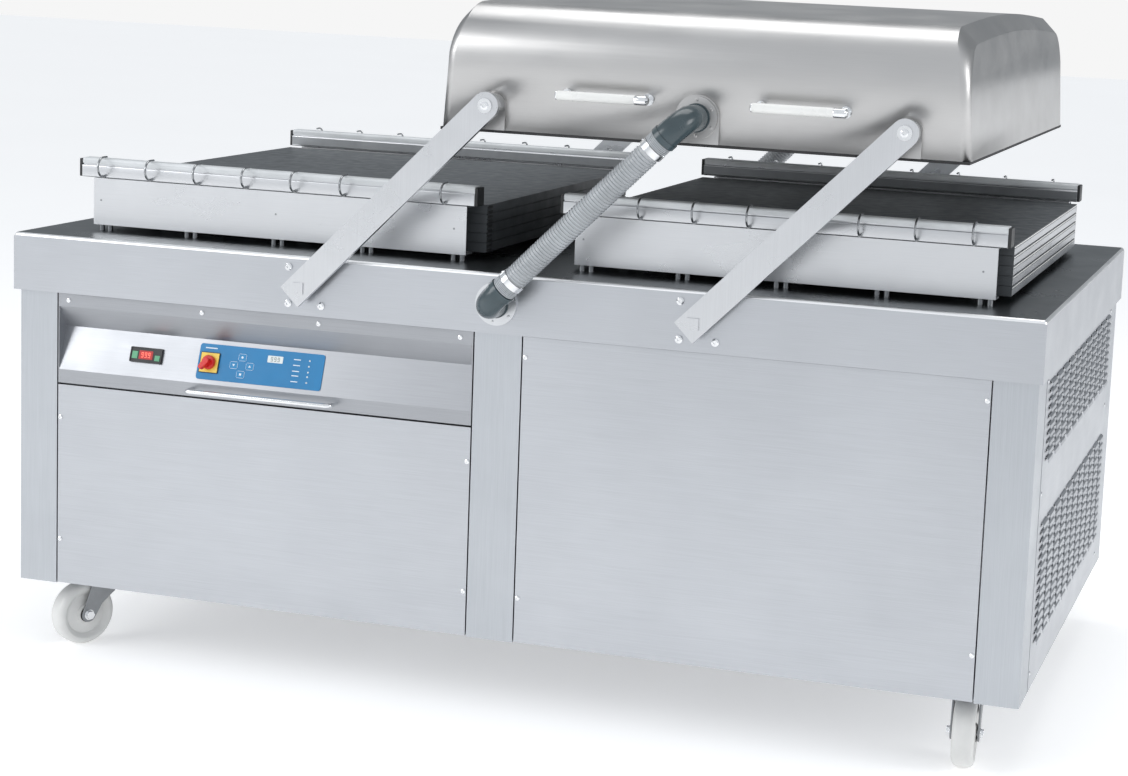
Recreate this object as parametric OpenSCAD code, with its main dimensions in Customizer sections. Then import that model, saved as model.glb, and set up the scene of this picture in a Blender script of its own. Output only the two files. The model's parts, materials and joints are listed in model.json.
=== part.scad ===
// Free-standing double-station vacuum packing machine with a swinging lid.
// Origin: floor level under the middle of the machine. X to the right, Y to the back, Z up.

/* [Worktop] */
// Width of the worktop over both stations
worktop_w = 2260; // [2200:10:2400]
// Depth of the worktop
worktop_d = 1300; // [1280:10:1400]
// Height of the worktop above the floor
worktop_z = 940; // [920:5:980]
// Height of the folded apron round the worktop
apron_h = 126; // [110:1:130]
// Thickness of the worktop and apron sheet
worktop_t = 3; // [2:0.5:4]
// Radius of the apron's folded top edge
edge_r = 8; // [4:1:12]

/* [Cabinet] */
// Height of the cabinet's lower edge above the floor
cabinet_z = 160; // [150:1:170]
// How far the cabinet's sides stand in from the worktop's sides
side_setback = 9; // [8:1:20]
// How far the cabinet's front stands in from the worktop's front
front_setback = 15; // [12:1:25]
// Width of each corner post on the front
post_w = 90; // [70:1:110]
// Width of each corner post on the side
post_side_w = 105; // [80:1:120]
// Width of the middle front post
mid_post_w = 104; // [80:1:120]
// Thickness of the cabinet sheets
sheet_t = 2; // [1.5:0.5:3]
// Gap between a service panel and the posts beside it
panel_gap = 3; // [2:0.5:5]
// Depth of a panel's return flange
flange_d = 18; // [12:1:24]

/* [Control fascia] */
// Height of the fascia's top edge
fascia_top = 811; // [800:1:812]
// Height of the fascia's bottom edge
fascia_bottom = 613; // [600:1:640]
// Height of the upper fold, where the fascia leans in
fascia_fold_a = 783; // [770:1:790]
// Height of the inner fold, at the deepest line
fascia_fold_b = 735; // [720:1:750]
// Height of the lower fold
fascia_fold_c = 643; // [635:1:660]
// Depth of the recess at the inner fold
fascia_recess = 31; // [20:1:40]

/* [Lid and linkage] */
// Half the distance between the two arm shafts
pivot_half = 432; // [400:1:450]
// Height of the arm shafts above the floor
pivot_z = 877; // [870:1:885]
// Length of an arm between its two pivots
arm_l = 575; // [560:1:590]
// Angle of the arms from vertical as stored
arm_angle = 45; // [40:1:50]
// Width of an arm
arm_w = 56; // [48:1:60]
// Thickness of an arm
arm_t = 12; // [8:1:14]
// Gap between the apron and the arms
arm_gap = 22; // [18:1:26]
// Diameter of an arm shaft
shaft_d = 30; // [25:1:32]
// Length of the lid
lid_l = 1104; // [1090:1:1110]
// Depth of the lid
lid_d = 1258; // [1240:1:1260]
// Height of the lid's shell at its front and rear rolls
lid_h = 258; // [240:1:280]
// Extra height of the lid's crown
lid_crown = 16; // [5:1:25]
// Radius of the lid's front and rear rolls
lid_roll_r = 105; // [80:1:120]
// Thickness of the lid's sheet
lid_t = 4; // [3:0.5:6]
// Height of the lid's pivots above its rim
pivot_rise = 52; // [48:1:60]
// How far the lid's gasket stands out of the rim
gasket_h = 6; // [4:1:8]

/* [Stations] */
// Distance from the middle of the machine to the middle of a station
station_x = 565; // [560:1:568]
// Half the width of a seal-bar carrier
carrier_half = 443; // [430:1:450]
// Length of a seal bar
bar_l = 945; // [920:1:950]
// Depth of a seal bar
bar_d = 40; // [34:1:44]
// Distance of the carriers' outer faces from the middle of the machine
carrier_y = 527; // [520:1:530]
// Travel of a seal bar
bar_travel = 10; // [6:1:12]
// Number of hooks on a seal bar
hook_count = 8; // [4:1:10]
// Distance between neighbouring hooks
hook_pitch = 115.7; // [90:0.1:120]
// Number of insert plates in a station
plate_count = 5; // [3:1:5]
// Thickness of an insert plate
plate_t = 20.5; // [16:0.5:21]

/* [Vacuum hoses] */
// Outer diameter of the hose
hose_d = 52; // [46:1:56]
// Distance of the hose from the apron's face
hose_out = 75; // [70:1:80]
// Centre-line radius of the hose elbows
elbow_r = 45; // [40:1:50]

/* [Casters] */
// Diameter of a caster wheel
wheel_d = 140; // [125:1:144]
// Width of a caster wheel
wheel_w = 46; // [40:1:50]
// Distance from a caster's swivel axis to its wheel axle
caster_trail = 44; // [35:1:50]
// Distance of the swivel axes from the middle, sideways
caster_x = 1000; // [980:1:1010]
// Distance of the swivel axes from the middle, front and back
caster_y = 505; // [490:1:520]

/* [Hidden] */
$fn = 64;

steel = [0.74, 0.76, 0.79];
bright = [0.85, 0.87, 0.89];
dark = [0.16, 0.18, 0.19];
slate = [0.24, 0.28, 0.31];
white = [0.9, 0.91, 0.9];
blue = [0.0, 0.51, 0.74];

cabinet_w = worktop_w - 2 * side_setback;
cabinet_d = worktop_d - 2 * front_setback;
apron_z = worktop_z - apron_h;
post_top = worktop_z - worktop_t;
tube = 40;
bay_x0 = mid_post_w / 2;
bay_x1 = cabinet_w / 2 - post_w;
panel_z0 = cabinet_z + 2;

arm_dx = arm_l * sin(arm_angle);
arm_dz = arm_l * cos(arm_angle);
lid_z = pivot_z + arm_dz - pivot_rise;
arm_y1 = worktop_d / 2 + arm_gap;
arm_y0 = arm_y1 + arm_t;
hose_y = worktop_d / 2 + hose_out;
fit = 0.05;
shaft_r = shaft_d / 2;
bolt_r = 8;
open_pivot_gap = 1;
port_r = 24;

bar_z = 1058;
bar_box_h = 30;
bar_strip_h = 12;
bar_shift = -5;
bar_y = carrier_y + 3;
rod_x = 330;
rod_r = 6;
rod_y = carrier_y - 20;

plate_half_x = 465;
plate_half_y = 466;
feet_h = worktop_t + 10.5;

// ---------- helpers ----------

// Box between two corners
module span(a, b) {
  translate(a) cube(b - a);
}

// Copies for the front (1) and the rear (-1) of the machine
module front_and_rear() {
  for (side = [0, 1]) mirror([0, side, 0]) children();
}

// Cylinder along Y between two positions
module bar_along_y(r, y0, y1) {
  translate([0, y0, 0]) rotate([-90, 0, 0]) cylinder(r = r, h = y1 - y0);
}

// Cylinder along X between two positions
module bar_along_x(r, x0, x1) {
  translate([x0, 0, 0]) rotate([0, 90, 0]) cylinder(r = r, h = x1 - x0);
}

// Points of an arc from angle a0 to a1
function arc(c, r, a0, a1, n = 12) =
  [for (i = [0:n]) c + r * [cos(a0 + (a1 - a0) * i / n), sin(a0 + (a1 - a0) * i / n)]];

// Round-headed screw pointing out of the front face, with a hexagon socket
module button_screw(head_r, head_h, shank_r, shank_l) {
  difference() {
    rotate([90, 0, 0]) {
      cylinder(r = head_r, h = head_h * 0.6);
      translate([0, 0, head_h * 0.6]) cylinder(r1 = head_r, r2 = head_r * 0.6, h = head_h * 0.4);
    }
    translate([0, -head_h * 0.55, 0]) rotate([90, 0, 0]) cylinder(r = head_r * 0.4, h = head_h, $fn = 6);
  }
  if (shank_l > 0) bar_along_y(shank_r, 0, shank_l);
}

// ---------- cabinet ----------

module base_frame() {
  x1 = cabinet_w / 2 - flange_d;
  y1 = cabinet_d / 2 - sheet_t - flange_d - 1;
  z1 = cabinet_z + tube;
  color(steel) union() {
    for (side = [0, 1]) mirror([side, 0, 0]) {
      span([x1 - tube, -y1, cabinet_z], [x1, y1, z1]);
      span([330 - tube / 2, -y1 + tube, cabinet_z], [330 + tube / 2, y1 - tube, z1]);
    }
    front_and_rear() {
      span([-x1 + tube, -y1, cabinet_z], [x1 - tube, -y1 + tube, z1]);
      for (x = [-caster_x, caster_x])
        span([x - 55, -caster_y - 70, cabinet_z - 6], [x + 55, -caster_y + 70, cabinet_z]);
    }
  }
}

module floor_pan() {
  x1 = cabinet_w / 2 - sheet_t - tube / 2;
  y1 = cabinet_d / 2 - flange_d - tube / 2;
  z0 = cabinet_z + tube;
  color(steel) difference() {
    span([-x1, -y1, z0], [x1, y1, z0 + 2]);
    for (x = [-700, 700]) translate([x, 380, z0 - 1]) cylinder(r = 40, h = 4);
  }
}

// One corner post folded from sheet, at the front left
module corner_post() {
  x1 = cabinet_w / 2;
  y1 = cabinet_d / 2;
  translate([0, 0, cabinet_z]) linear_extrude(post_top - cabinet_z)
    polygon([
      [-x1, -y1], [-x1 + post_w, -y1], [-x1 + post_w, -y1 + flange_d],
      [-x1 + post_w - sheet_t, -y1 + flange_d], [-x1 + post_w - sheet_t, -y1 + sheet_t],
      [-x1 + sheet_t, -y1 + sheet_t], [-x1 + sheet_t, -y1 + post_side_w - sheet_t],
      [-x1 + flange_d, -y1 + post_side_w - sheet_t], [-x1 + flange_d, -y1 + post_side_w],
      [-x1, -y1 + post_side_w]
    ]);
}

module posts() {
  y1 = cabinet_d / 2;
  color(steel) {
    for (side = [0, 1]) mirror([side, 0, 0]) front_and_rear() corner_post();
    translate([0, 0, cabinet_z]) linear_extrude(apron_z - cabinet_z)
      polygon([
        [-bay_x0, -y1], [bay_x0, -y1], [bay_x0, -y1 + flange_d], [bay_x0 - sheet_t, -y1 + flange_d],
        [bay_x0 - sheet_t, -y1 + sheet_t], [-bay_x0 + sheet_t, -y1 + sheet_t],
        [-bay_x0 + sheet_t, -y1 + flange_d], [-bay_x0, -y1 + flange_d]
      ]);
  }
}

module top_frame() {
  x1 = cabinet_w / 2 - flange_d;
  y1 = cabinet_d / 2 - flange_d - 20;
  z0 = post_top - 30;
  color(steel) union() {
    for (side = [0, 1]) mirror([side, 0, 0]) {
      span([x1 - tube, -y1, z0], [x1, y1, post_top]);
      span([220 - tube / 2, -y1 + tube, z0], [220 + tube / 2, y1 - tube, post_top]);
    }
    front_and_rear() span([-x1 + tube, -y1, z0], [x1 - tube, -y1 + tube, post_top]);
  }
}

// Sheet with a return flange on all four edges; its outer face is at y = -cabinet_d / 2
module flanged_panel(x0, x1, z0, z1) {
  y0 = -cabinet_d / 2;
  difference() {
    span([x0, y0, z0], [x1, y0 + flange_d, z1]);
    span([x0 + sheet_t, y0 + sheet_t, z0 + sheet_t], [x1 - sheet_t, y0 + flange_d + 1, z1 - sheet_t]);
  }
}

module front_left_panel() {
  color(steel)
    flanged_panel(-bay_x1 + panel_gap, -bay_x0 - panel_gap, panel_z0, fascia_bottom - panel_gap - 1);
}

module front_right_panel() {
  color(steel) flanged_panel(bay_x0 + panel_gap, bay_x1 - panel_gap, panel_z0, fascia_top);
}

module rear_panel() {
  gland_x = 900;
  gland_z = 250;
  color(steel) rotate([0, 0, 180]) difference() {
    flanged_panel(-bay_x1 + panel_gap, bay_x1 - panel_gap, panel_z0, fascia_top);
    translate([gland_x, -cabinet_d / 2, gland_z]) bar_along_y(10, -1, sheet_t + 1);
  }
}

vent_cols = 11;
vent_pitch_y = 91;
vent_pitch_z = 17.3;
vent_l = 60;
vent_h = 8;

// Flat side panel with two fields of ventilation slots; its outer face is at x = cabinet_w / 2
module side_panel() {
  x1 = cabinet_w / 2;
  y1 = cabinet_d / 2 - post_side_w - panel_gap + 1;
  difference() {
    span([x1 - sheet_t, -y1, panel_z0], [x1, y1, post_top - 8]);
    for (field = [[632, 10], [254, 15]])
      for (row = [0:field[1] - 1])
        for (col = [0:vent_cols - 1])
          translate([x1 - sheet_t - 1, (col - (vent_cols - 1) / 2) * vent_pitch_y - vent_l / 2,
                     field[0] + row * vent_pitch_z])
            cube([sheet_t + 2, vent_l, vent_h]);
  }
}

module left_side_panel() {
  color(steel) mirror([1, 0, 0]) side_panel();
}

module right_side_panel() {
  color(steel) side_panel();
}

// ---------- worktop ----------

module worktop() {
  x1 = worktop_w / 2;
  y1 = worktop_d / 2;
  z1 = worktop_z;
  color(steel) difference() {
    union() {
      span([-x1, -y1, apron_z], [x1, y1, z1 - edge_r]);
      span([-x1 + edge_r, -y1 + edge_r, z1 - edge_r], [x1 - edge_r, y1 - edge_r, z1]);
      for (s = [-1, 1]) {
        translate([0, s * (y1 - edge_r), z1 - edge_r]) bar_along_x(edge_r, -x1 + edge_r, x1 - edge_r);
        translate([s * (x1 - edge_r), 0, z1 - edge_r]) bar_along_y(edge_r, -y1 + edge_r, y1 - edge_r);
        for (t = [-1, 1]) translate([s * (x1 - edge_r), t * (y1 - edge_r), z1 - edge_r]) sphere(r = edge_r);
      }
    }
    span([-x1 + worktop_t, -y1 + worktop_t, apron_z - 1], [x1 - worktop_t, y1 - worktop_t, z1 - worktop_t]);
    for (x = [-pivot_half, 0, pivot_half])
      translate([x, 0, pivot_z]) bar_along_y(x == 0 ? port_r + 5 : shaft_r + 3, -y1 - 1, y1 + 1);
    for (x = [-pivot_half, pivot_half], dx = [-38, 38], dz = [-39, 39])
      translate([x + dx, 0, pivot_z + dz]) bar_along_y(5, -y1 - 1, y1 + 1);
  }
}

// ---------- control fascia ----------

fascia_y = -cabinet_d / 2;
face_lean = atan(fascia_recess / (fascia_fold_b - fascia_fold_c));
face_mid = [0, fascia_y + fascia_recess / 2, (fascia_fold_b + fascia_fold_c) / 2];

// Places children on the sloping control face: X along it, Y up it, Z out of it
module on_control_face(x, s, out = 0) {
  translate(face_mid + [x, 0, 0]) rotate([90 - face_lean, 0, 0]) translate([0, s, out]) children();
}

module control_fascia() {
  x0 = -bay_x1 + panel_gap;
  x1 = -bay_x0 - panel_gap;
  outer = [
    [fascia_y + flange_d, fascia_top], [fascia_y, fascia_top], [fascia_y, fascia_fold_a],
    [fascia_y + fascia_recess, fascia_fold_b], [fascia_y, fascia_fold_c], [fascia_y, fascia_bottom],
    [fascia_y + flange_d, fascia_bottom]
  ];
  inner = [
    [fascia_y + flange_d, fascia_bottom + sheet_t], [fascia_y + sheet_t, fascia_bottom + sheet_t],
    [fascia_y + sheet_t, fascia_fold_c], [fascia_y + fascia_recess + sheet_t, fascia_fold_b],
    [fascia_y + sheet_t, fascia_fold_a], [fascia_y + sheet_t, fascia_top - sheet_t],
    [fascia_y + flange_d, fascia_top - sheet_t]
  ];
  cheek = [
    [fascia_y, fascia_fold_a], [fascia_y + fascia_recess, fascia_fold_b], [fascia_y, fascia_fold_c]
  ];
  color(steel) difference() {
    union() {
      translate([x0, 0, 0]) extrude_along_x(x1 - x0) polygon(concat(outer, inner));
      for (x = [x0, x1 - sheet_t]) translate([x, 0, 0]) extrude_along_x(sheet_t) polygon(cheek);
    }
    on_control_face(switch_x, switch_s, -10) cylinder(r = switch_shaft_r + 1, h = 20);
    on_control_face(controller_x, 0, -5) cube([controller_w - 6, controller_h - 4, 20], center = true);
  }
}

// Extrudes a profile drawn as (y, z) along X
module extrude_along_x(l) {
  rotate([90, 0, 90]) linear_extrude(l) children();
}

controller_x = -820;
controller_w = 76;
controller_h = 33;
keypad_x = -548;
keypad_w = 294;
keypad_h = 78;
keypad_t = 1.5;
switch_x = -667;
switch_s = -2;
switch_plate_w = 42;
switch_plate_t = 3;
switch_shaft_r = 5;
key_w = 17;
key_h = 14;
key_places = [["key_set", -592, 16], ["key_less", -610, -2], ["key_more", -572, -2], ["key_stop", -591, -21]];

module temperature_controller() {
  gap = 0.5;
  color(dark) on_control_face(controller_x, 0) difference() {
    union() {
      translate([0, 0, 2]) cube([controller_w, controller_h, 4], center = true);
      translate([0, 0, -14]) cube([controller_w - 7, controller_h - 5, 28], center = true);
    }
    span([-26.5 - 6.5 - gap, -9 - gap, 2.4], [-26.5 + 6.5 + gap, 7 + gap, 5]);
    span([28 - 6 - gap, -11 - gap, 2.4], [28 + 6 + gap, 1 + gap, 5]);
  }
}

// Key cap lying in a pocket of the controller's bezel
module controller_key(x, s, w, h) {
  color("limegreen") on_control_face(controller_x + x, s, 3.4) span([-w / 2, -h / 2, 0], [w / 2, h / 2, 1.6]);
}

module controller_key_left() { controller_key(-26.5, -1, 13, 16); }
module controller_key_right() { controller_key(28, -5, 12, 12); }

module keypad_panel() {
  r = 6;
  color(blue) difference() {
    on_control_face(keypad_x, 0) linear_extrude(keypad_t) {
      square([keypad_w - 2 * r, keypad_h], center = true);
      square([keypad_w, keypad_h - 2 * r], center = true);
      for (sx = [-1, 1], sy = [-1, 1])
        translate([sx * (keypad_w / 2 - r), sy * (keypad_h / 2 - r)]) circle(r = r);
    }
    on_control_face(switch_x, switch_s, -1) cylinder(r = switch_shaft_r + 1, h = 5);
    for (k = key_places)
      on_control_face(k[1], k[2], 0.7) translate([-key_w / 2 - 0.5, -key_h / 2 - 0.5, 0])
        cube([key_w + 1, key_h + 1, 5]);
  }
}

module key_cap(name) {
  k = [for (p = key_places) if (p[0] == name) p][0];
  color(blue) on_control_face(k[1], k[2], 1.3)
    translate([-key_w / 2, -key_h / 2, 0]) cube([key_w, key_h, 0.9]);
}

module key_set() { key_cap("key_set"); }
module key_less() { key_cap("key_less"); }
module key_more() { key_cap("key_more"); }
module key_stop() { key_cap("key_stop"); }

module switch_plate() {
  color("gold") on_control_face(switch_x, switch_s, keypad_t) difference() {
    translate([0, 0, switch_plate_t / 2])
      cube([switch_plate_w, switch_plate_w, switch_plate_t], center = true);
    translate([0, 0, -1]) cylinder(r = switch_shaft_r + fit, h = switch_plate_t + 2);
  }
}

module switch_knob() {
  z0 = keypad_t + switch_plate_t + 0.4;
  color("crimson") on_control_face(switch_x, switch_s) union() {
    translate([0, 0, z0]) cylinder(r = 14, h = 8);
    translate([0, 0, z0 + 8]) rotate([0, 0, 52]) span([-21, -6, 0], [6, 6, 12]);
    translate([0, 0, -22]) cylinder(r = switch_shaft_r, h = 22 + z0);
  }
}

rail_x0 = -700;
rail_x1 = -362;
rail_z = 630;

module hand_rail() {
  r = 5;
  out = 34;
  y0 = fascia_y;
  color(bright) union() {
    translate([0, y0 - out, rail_z]) bar_along_x(r, rail_x0 + 12, rail_x1 - 12);
    for (side = [0, 1])
      translate([side ? rail_x1 : rail_x0, 0, rail_z]) mirror([side, 0, 0]) {
        bar_along_y(r, y0 - out + 12, y0);
        translate([12, y0 - out + 12, 0]) rotate([0, 0, 180])
          rotate_extrude(angle = 90) translate([12, 0]) circle(r = r);
      }
  }
}

module panel_screws() {
  y0 = -cabinet_d / 2;
  z_low = 257;
  x_in = bay_x0 + panel_gap + 6;
  x_out = bay_x1 - panel_gap - 6;
  screws = concat(
    [for (x = [-bay_x1 + 28, -680, -406, -bay_x0 - 32]) [x, 797]],
    [[-x_out, 536], [-x_out, z_low + 4], [-x_in, 536], [-x_in, z_low]],
    [[x_in, 768], [x_in, z_low], [x_out, 770], [x_out, z_low]]
  );
  color(bright) {
    for (p = screws) translate([p[0], y0, p[1]]) button_screw(5, 2.6, 0, 0);
    for (x = [-x_out, 0, x_out], z = [z_low, 768])
      rotate([0, 0, 180]) translate([x, y0, z]) button_screw(5, 2.6, 0, 0);
    for (sx = [0, 1], y = [-470, 470], z = [200, 570, 800]) mirror([sx, 0, 0])
      translate([cabinet_w / 2, y * 1.1, z]) rotate([0, 0, 90]) button_screw(5, 2.6, 0, 0);
  }
}

// ---------- bearings and drive ----------

module arm_bearings() {
  y1 = worktop_d / 2 - worktop_t;
  color(steel) front_and_rear()
    for (x = [-pivot_half, pivot_half]) difference() {
      translate([x - 50, -y1, pivot_z - 50]) cube([100, 34, 100]);
      translate([x, 0, pivot_z]) bar_along_y(shaft_r + fit, -y1 - 1, -y1 + 35);
      for (dx = [-38, 38], dz = [-39, 39])
        translate([x + dx, 0, pivot_z + dz]) bar_along_y(5, -y1 - 1, -y1 + 35);
    }
}

module bearing_bolts() {
  color(bright) front_and_rear()
    for (x = [-pivot_half, pivot_half], dx = [-38, 38], dz = [-39, 39])
      translate([x + dx, -worktop_d / 2, pivot_z + dz]) button_screw(8, 5, 4.9, 30);
}

module hose_port_flanges() {
  y1 = worktop_d / 2;
  color(steel) front_and_rear() {
    difference() {
      translate([0, 0, pivot_z]) {
        bar_along_y(45, -y1 - 6, -y1);
        bar_along_y(port_r + 4, -y1, -y1 + 40);
      }
      translate([0, 0, pivot_z]) bar_along_y(port_r + fit, -y1 - 7, -y1 + 41);
    }
    for (a = [20:60:320])
      translate([38 * cos(a), -y1 - 6, pivot_z + 38 * sin(a)]) button_screw(3.2, 2, 0, 0);
  }
}

pump_x = 520;
pump_y = 60;
pump_z = 202;
inlet_z = 600;

module vacuum_manifold() {
  y1 = worktop_d / 2 - 40;
  color(steel) difference() {
    union() {
      translate([0, 0, pivot_z]) bar_along_y(port_r + 4, -y1, y1);
      translate([0, pump_y, inlet_z]) cylinder(r = port_r + 4, h = pivot_z - inlet_z);
      translate([0, pump_y, inlet_z]) sphere(r = port_r + 4);
      translate([0, pump_y, inlet_z]) bar_along_x(port_r + 4, 0, pump_x - 180);
    }
    translate([0, 0, pivot_z]) bar_along_y(port_r, -y1 - 1, y1 + 1);
    translate([0, pump_y, inlet_z]) cylinder(r = port_r, h = pivot_z - inlet_z);
    translate([0, pump_y, inlet_z]) bar_along_x(port_r, 0, pump_x - 179);
  }
}

module vacuum_pump() {
  color(slate) difference() {
    union() {
      translate([pump_x, pump_y - 160, 440]) bar_along_y(150, 0, 320);
      span([pump_x - 180, pump_y - 150, pump_z], [pump_x + 180, pump_y + 150, 430]);
      span([pump_x - 180, pump_y - 60, 430], [pump_x - 60, pump_y + 60, 640]);
      span([pump_x + 30, pump_y - 110, 430], [pump_x + 170, pump_y + 110, 660]);
    }
    translate([0, pump_y, inlet_z]) bar_along_x(port_r, pump_x - 181, pump_x - 100);
  }
}

module pump_motor() {
  y0 = pump_y + 160;
  color(steel) union() {
    translate([pump_x, 0, 440]) bar_along_y(100, y0, y0 + 260);
    for (a = [0:30:330])
      translate([pump_x, y0 + 20, 440]) rotate([0, a, 0]) translate([-3, 0, 96]) cube([6, 180, 14]);
    span([pump_x - 90, y0 + 40, pump_z], [pump_x + 90, y0 + 180, 360]);
  }
}

module sealing_transformer() {
  color(dark) union() {
    span([-760, 60, 202], [-520, 260, 222]);
    span([-740, 80, 222], [-540, 240, 372]);
    for (x = [-690, -590]) translate([x, 160, 0]) {
      translate([0, 0, 240]) cylinder(r = 45, h = 150);
    }
  }
}

module cable_gland() {
  color(dark) translate([-900, cabinet_d / 2, 250]) union() {
    bar_along_y(9.9, -sheet_t, 0);
    rotate([-90, 0, 0]) cylinder(r = 15, h = 6, $fn = 6);
    bar_along_y(12, 6, 16);
  }
}

// ---------- stations ----------

// Stack of folded trays, each standing on the one below with a narrow step at its foot
module insert_plates(x) {
  z0 = worktop_z + feet_h;
  step = 2;
  wall = 4;
  top_t = 2;
  color(slate)
    for (i = [0:plate_count - 1]) translate([x, 0, z0 + i * plate_t]) difference() {
      union() {
        span([-plate_half_x, -plate_half_y, step], [plate_half_x, plate_half_y, plate_t]);
        span([-plate_half_x + step, -plate_half_y + step, 0],
             [plate_half_x - step, plate_half_y - step, step]);
      }
      span([-plate_half_x + wall, -plate_half_y + wall, -1],
           [plate_half_x - wall, plate_half_y - wall, plate_t - top_t]);
    }
}

module left_insert_plates() { insert_plates(-station_x); }
module right_insert_plates() { insert_plates(station_x); }

carrier_z0 = worktop_z + feet_h;
carrier_z1 = bar_z - 1;
carrier_depth = 37;

module bar_carriers() {
  t = 3;
  color(bright) for (x = [-station_x, station_x]) front_and_rear() difference() {
    span([x - carrier_half, -carrier_y, carrier_z0],
         [x + carrier_half, -carrier_y + carrier_depth, carrier_z1]);
    span([x - carrier_half - 1, -carrier_y + t, carrier_z0 + t],
         [x + carrier_half + 1, -carrier_y + carrier_depth + 1, carrier_z1 - t]);
    for (s = [-1, 1])
      translate([x + s * rod_x, -rod_y, carrier_z1 - t - 1]) cylinder(r = rod_r + 1, h = t + 2);
  }
}

module station_feet() {
  color(dark) for (x = [-station_x, station_x]) {
    front_and_rear() for (dx = [-420:210:420], e = [-10, 10])
      translate([x + dx + e, -carrier_y + 14, worktop_z]) cylinder(r = 6, h = feet_h);
    for (dx = [-380, 0, 380], dy = [-380, 0, 380])
      translate([x + dx, dy, worktop_z]) cylinder(r = 20, h = feet_h);
  }
}

cylinder_z0 = carrier_z0 + 3;
cylinder_z1 = carrier_z1 - 7;

module lift_cylinders() {
  color(steel) for (x = [-station_x, station_x], s = [-1, 1]) front_and_rear()
    translate([x + s * rod_x, -rod_y, 0]) difference() {
      translate([0, 0, cylinder_z0]) cylinder(r = 14, h = cylinder_z1 - cylinder_z0);
      translate([0, 0, cylinder_z0 + 20]) cylinder(r = rod_r + fit, h = cylinder_z1);
    }
}

// C-shaped wire hook in the plane across the bar, welded to the bar's front face
module hook() {
  r = 21;
  wire = 2.4;
  zc = bar_z + 25;
  translate([0, -bar_y - 7, zc]) union() {
    rotate([0, 0, -90]) rotate([90, 0, 0]) rotate([0, 0, -90])
      rotate_extrude(angle = 180) translate([r, 0]) circle(r = wire, $fn = 24);
    translate([0, 0, r]) bar_along_y(wire, 0, 17, $fn = 24);
    translate([0, 0, -r]) bar_along_y(wire, 0, 7, $fn = 24);
  }
}

// Seal bar with its rods, heating strip and hooks, lying at the front
module seal_bar(x) {
  x0 = x + bar_shift - bar_l / 2;
  z1 = bar_z + bar_box_h;
  strip_r = 6;
  color(bright) union() {
    span([x0, -bar_y, bar_z], [x0 + bar_l, -bar_y + bar_d, z1]);
    span([x0 + 3, -bar_y + 2, z1], [x0 + bar_l - 3, -bar_y + bar_d - 2, z1 + bar_strip_h - strip_r]);
    span([x0 + 3, -bar_y + 2 + strip_r, z1],
         [x0 + bar_l - 3, -bar_y + bar_d - 2 - strip_r, z1 + bar_strip_h]);
    for (y = [-bar_y + 2 + strip_r, -bar_y + bar_d - 2 - strip_r])
      translate([0, y, z1 + bar_strip_h - strip_r]) bar_along_x(strip_r, x0 + 3, x0 + bar_l - 3);
    for (s = [-1, 1])
      translate([x + s * rod_x, -rod_y, cylinder_z0 + 40]) cylinder(r = rod_r, h = bar_z - cylinder_z0 - 40);
  }
  color(steel) for (i = [0:hook_count - 1])
    translate([x - (hook_count - 1) * hook_pitch / 2 - 10 + i * hook_pitch, 0, 0]) hook();
}

module bar_front_left() { seal_bar(-station_x); }
module bar_rear_left() { mirror([0, 1, 0]) seal_bar(-station_x); }
module bar_front_right() { seal_bar(station_x); }
module bar_rear_right() { mirror([0, 1, 0]) seal_bar(station_x); }

// ---------- arms ----------

square_end = 24;

// Flat arm from the lower pivot at the origin to the upper pivot, in the plane y = 0 to arm_t
module arm(bore_r) {
  tail = 28;
  rotate([0, arm_angle, 0]) difference() {
    union() {
      span([-arm_w / 2, 0, -tail], [arm_w / 2, arm_t, arm_l]);
      translate([0, 0, arm_l]) bar_along_y(arm_w / 2, 0, arm_t);
    }
    translate([0, 0, arm_l]) bar_along_y(bore_r, -1, arm_t + 1);
  }
}

// Front and rear arm of one side, keyed on the squared ends of their cross shaft
module arm_pair(x, bore_r) {
  s = square_end / 2;
  translate([x, 0, pivot_z]) {
    color(bright) union() {
      translate([0, -arm_y0, 0]) arm(bore_r);
      translate([0, arm_y1, 0]) arm(bore_r);
      bar_along_y(shaft_r, -arm_y1 - 1, arm_y1 + 1);
      span([-s, -arm_y0 - 3, -s], [s, -arm_y0 + 1, s]);
      span([-s, arm_y0 - 1, -s], [s, arm_y0 + 3, s]);
    }
  }
}

module left_arms() { arm_pair(-pivot_half, bolt_r + fit); }
module right_arms() { arm_pair(pivot_half, bolt_r + open_pivot_gap); }

// ---------- hoses ----------

cuff_l = 14;
clamp_l = 20;

// Hose body between the two elbows, along the arm direction; the hose lies at the front
module hose() {
  l0 = elbow_r + cuff_l;
  l1 = arm_l - elbow_r - cuff_l;
  ribs = 22;
  rib_pitch = (l1 - l0 - 2 * clamp_l) / ribs;
  translate([0, -hose_y, pivot_z]) rotate([0, arm_angle, 0]) {
    color([0.62, 0.62, 0.63]) difference() {
      union() {
        translate([0, 0, l0]) cylinder(r = hose_d / 2 - 2, h = l1 - l0);
        for (i = [0:ribs - 1])
          translate([0, 0, l0 + clamp_l + (i + 0.2) * rib_pitch]) cylinder(r = hose_d / 2, h = rib_pitch * 0.6);
      }
      translate([0, 0, l0 - 1]) cylinder(r = hose_d / 2 - 5, h = l1 - l0 + 2);
    }
    color(bright) for (z = [l0 + 2, l1 - clamp_l + 2]) translate([0, 0, z]) difference() {
      cylinder(r = hose_d / 2 + 2, h = clamp_l - 6);
      translate([0, 0, -1]) cylinder(r = hose_d / 2 - 2, h = clamp_l);
    }
  }
}

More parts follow.
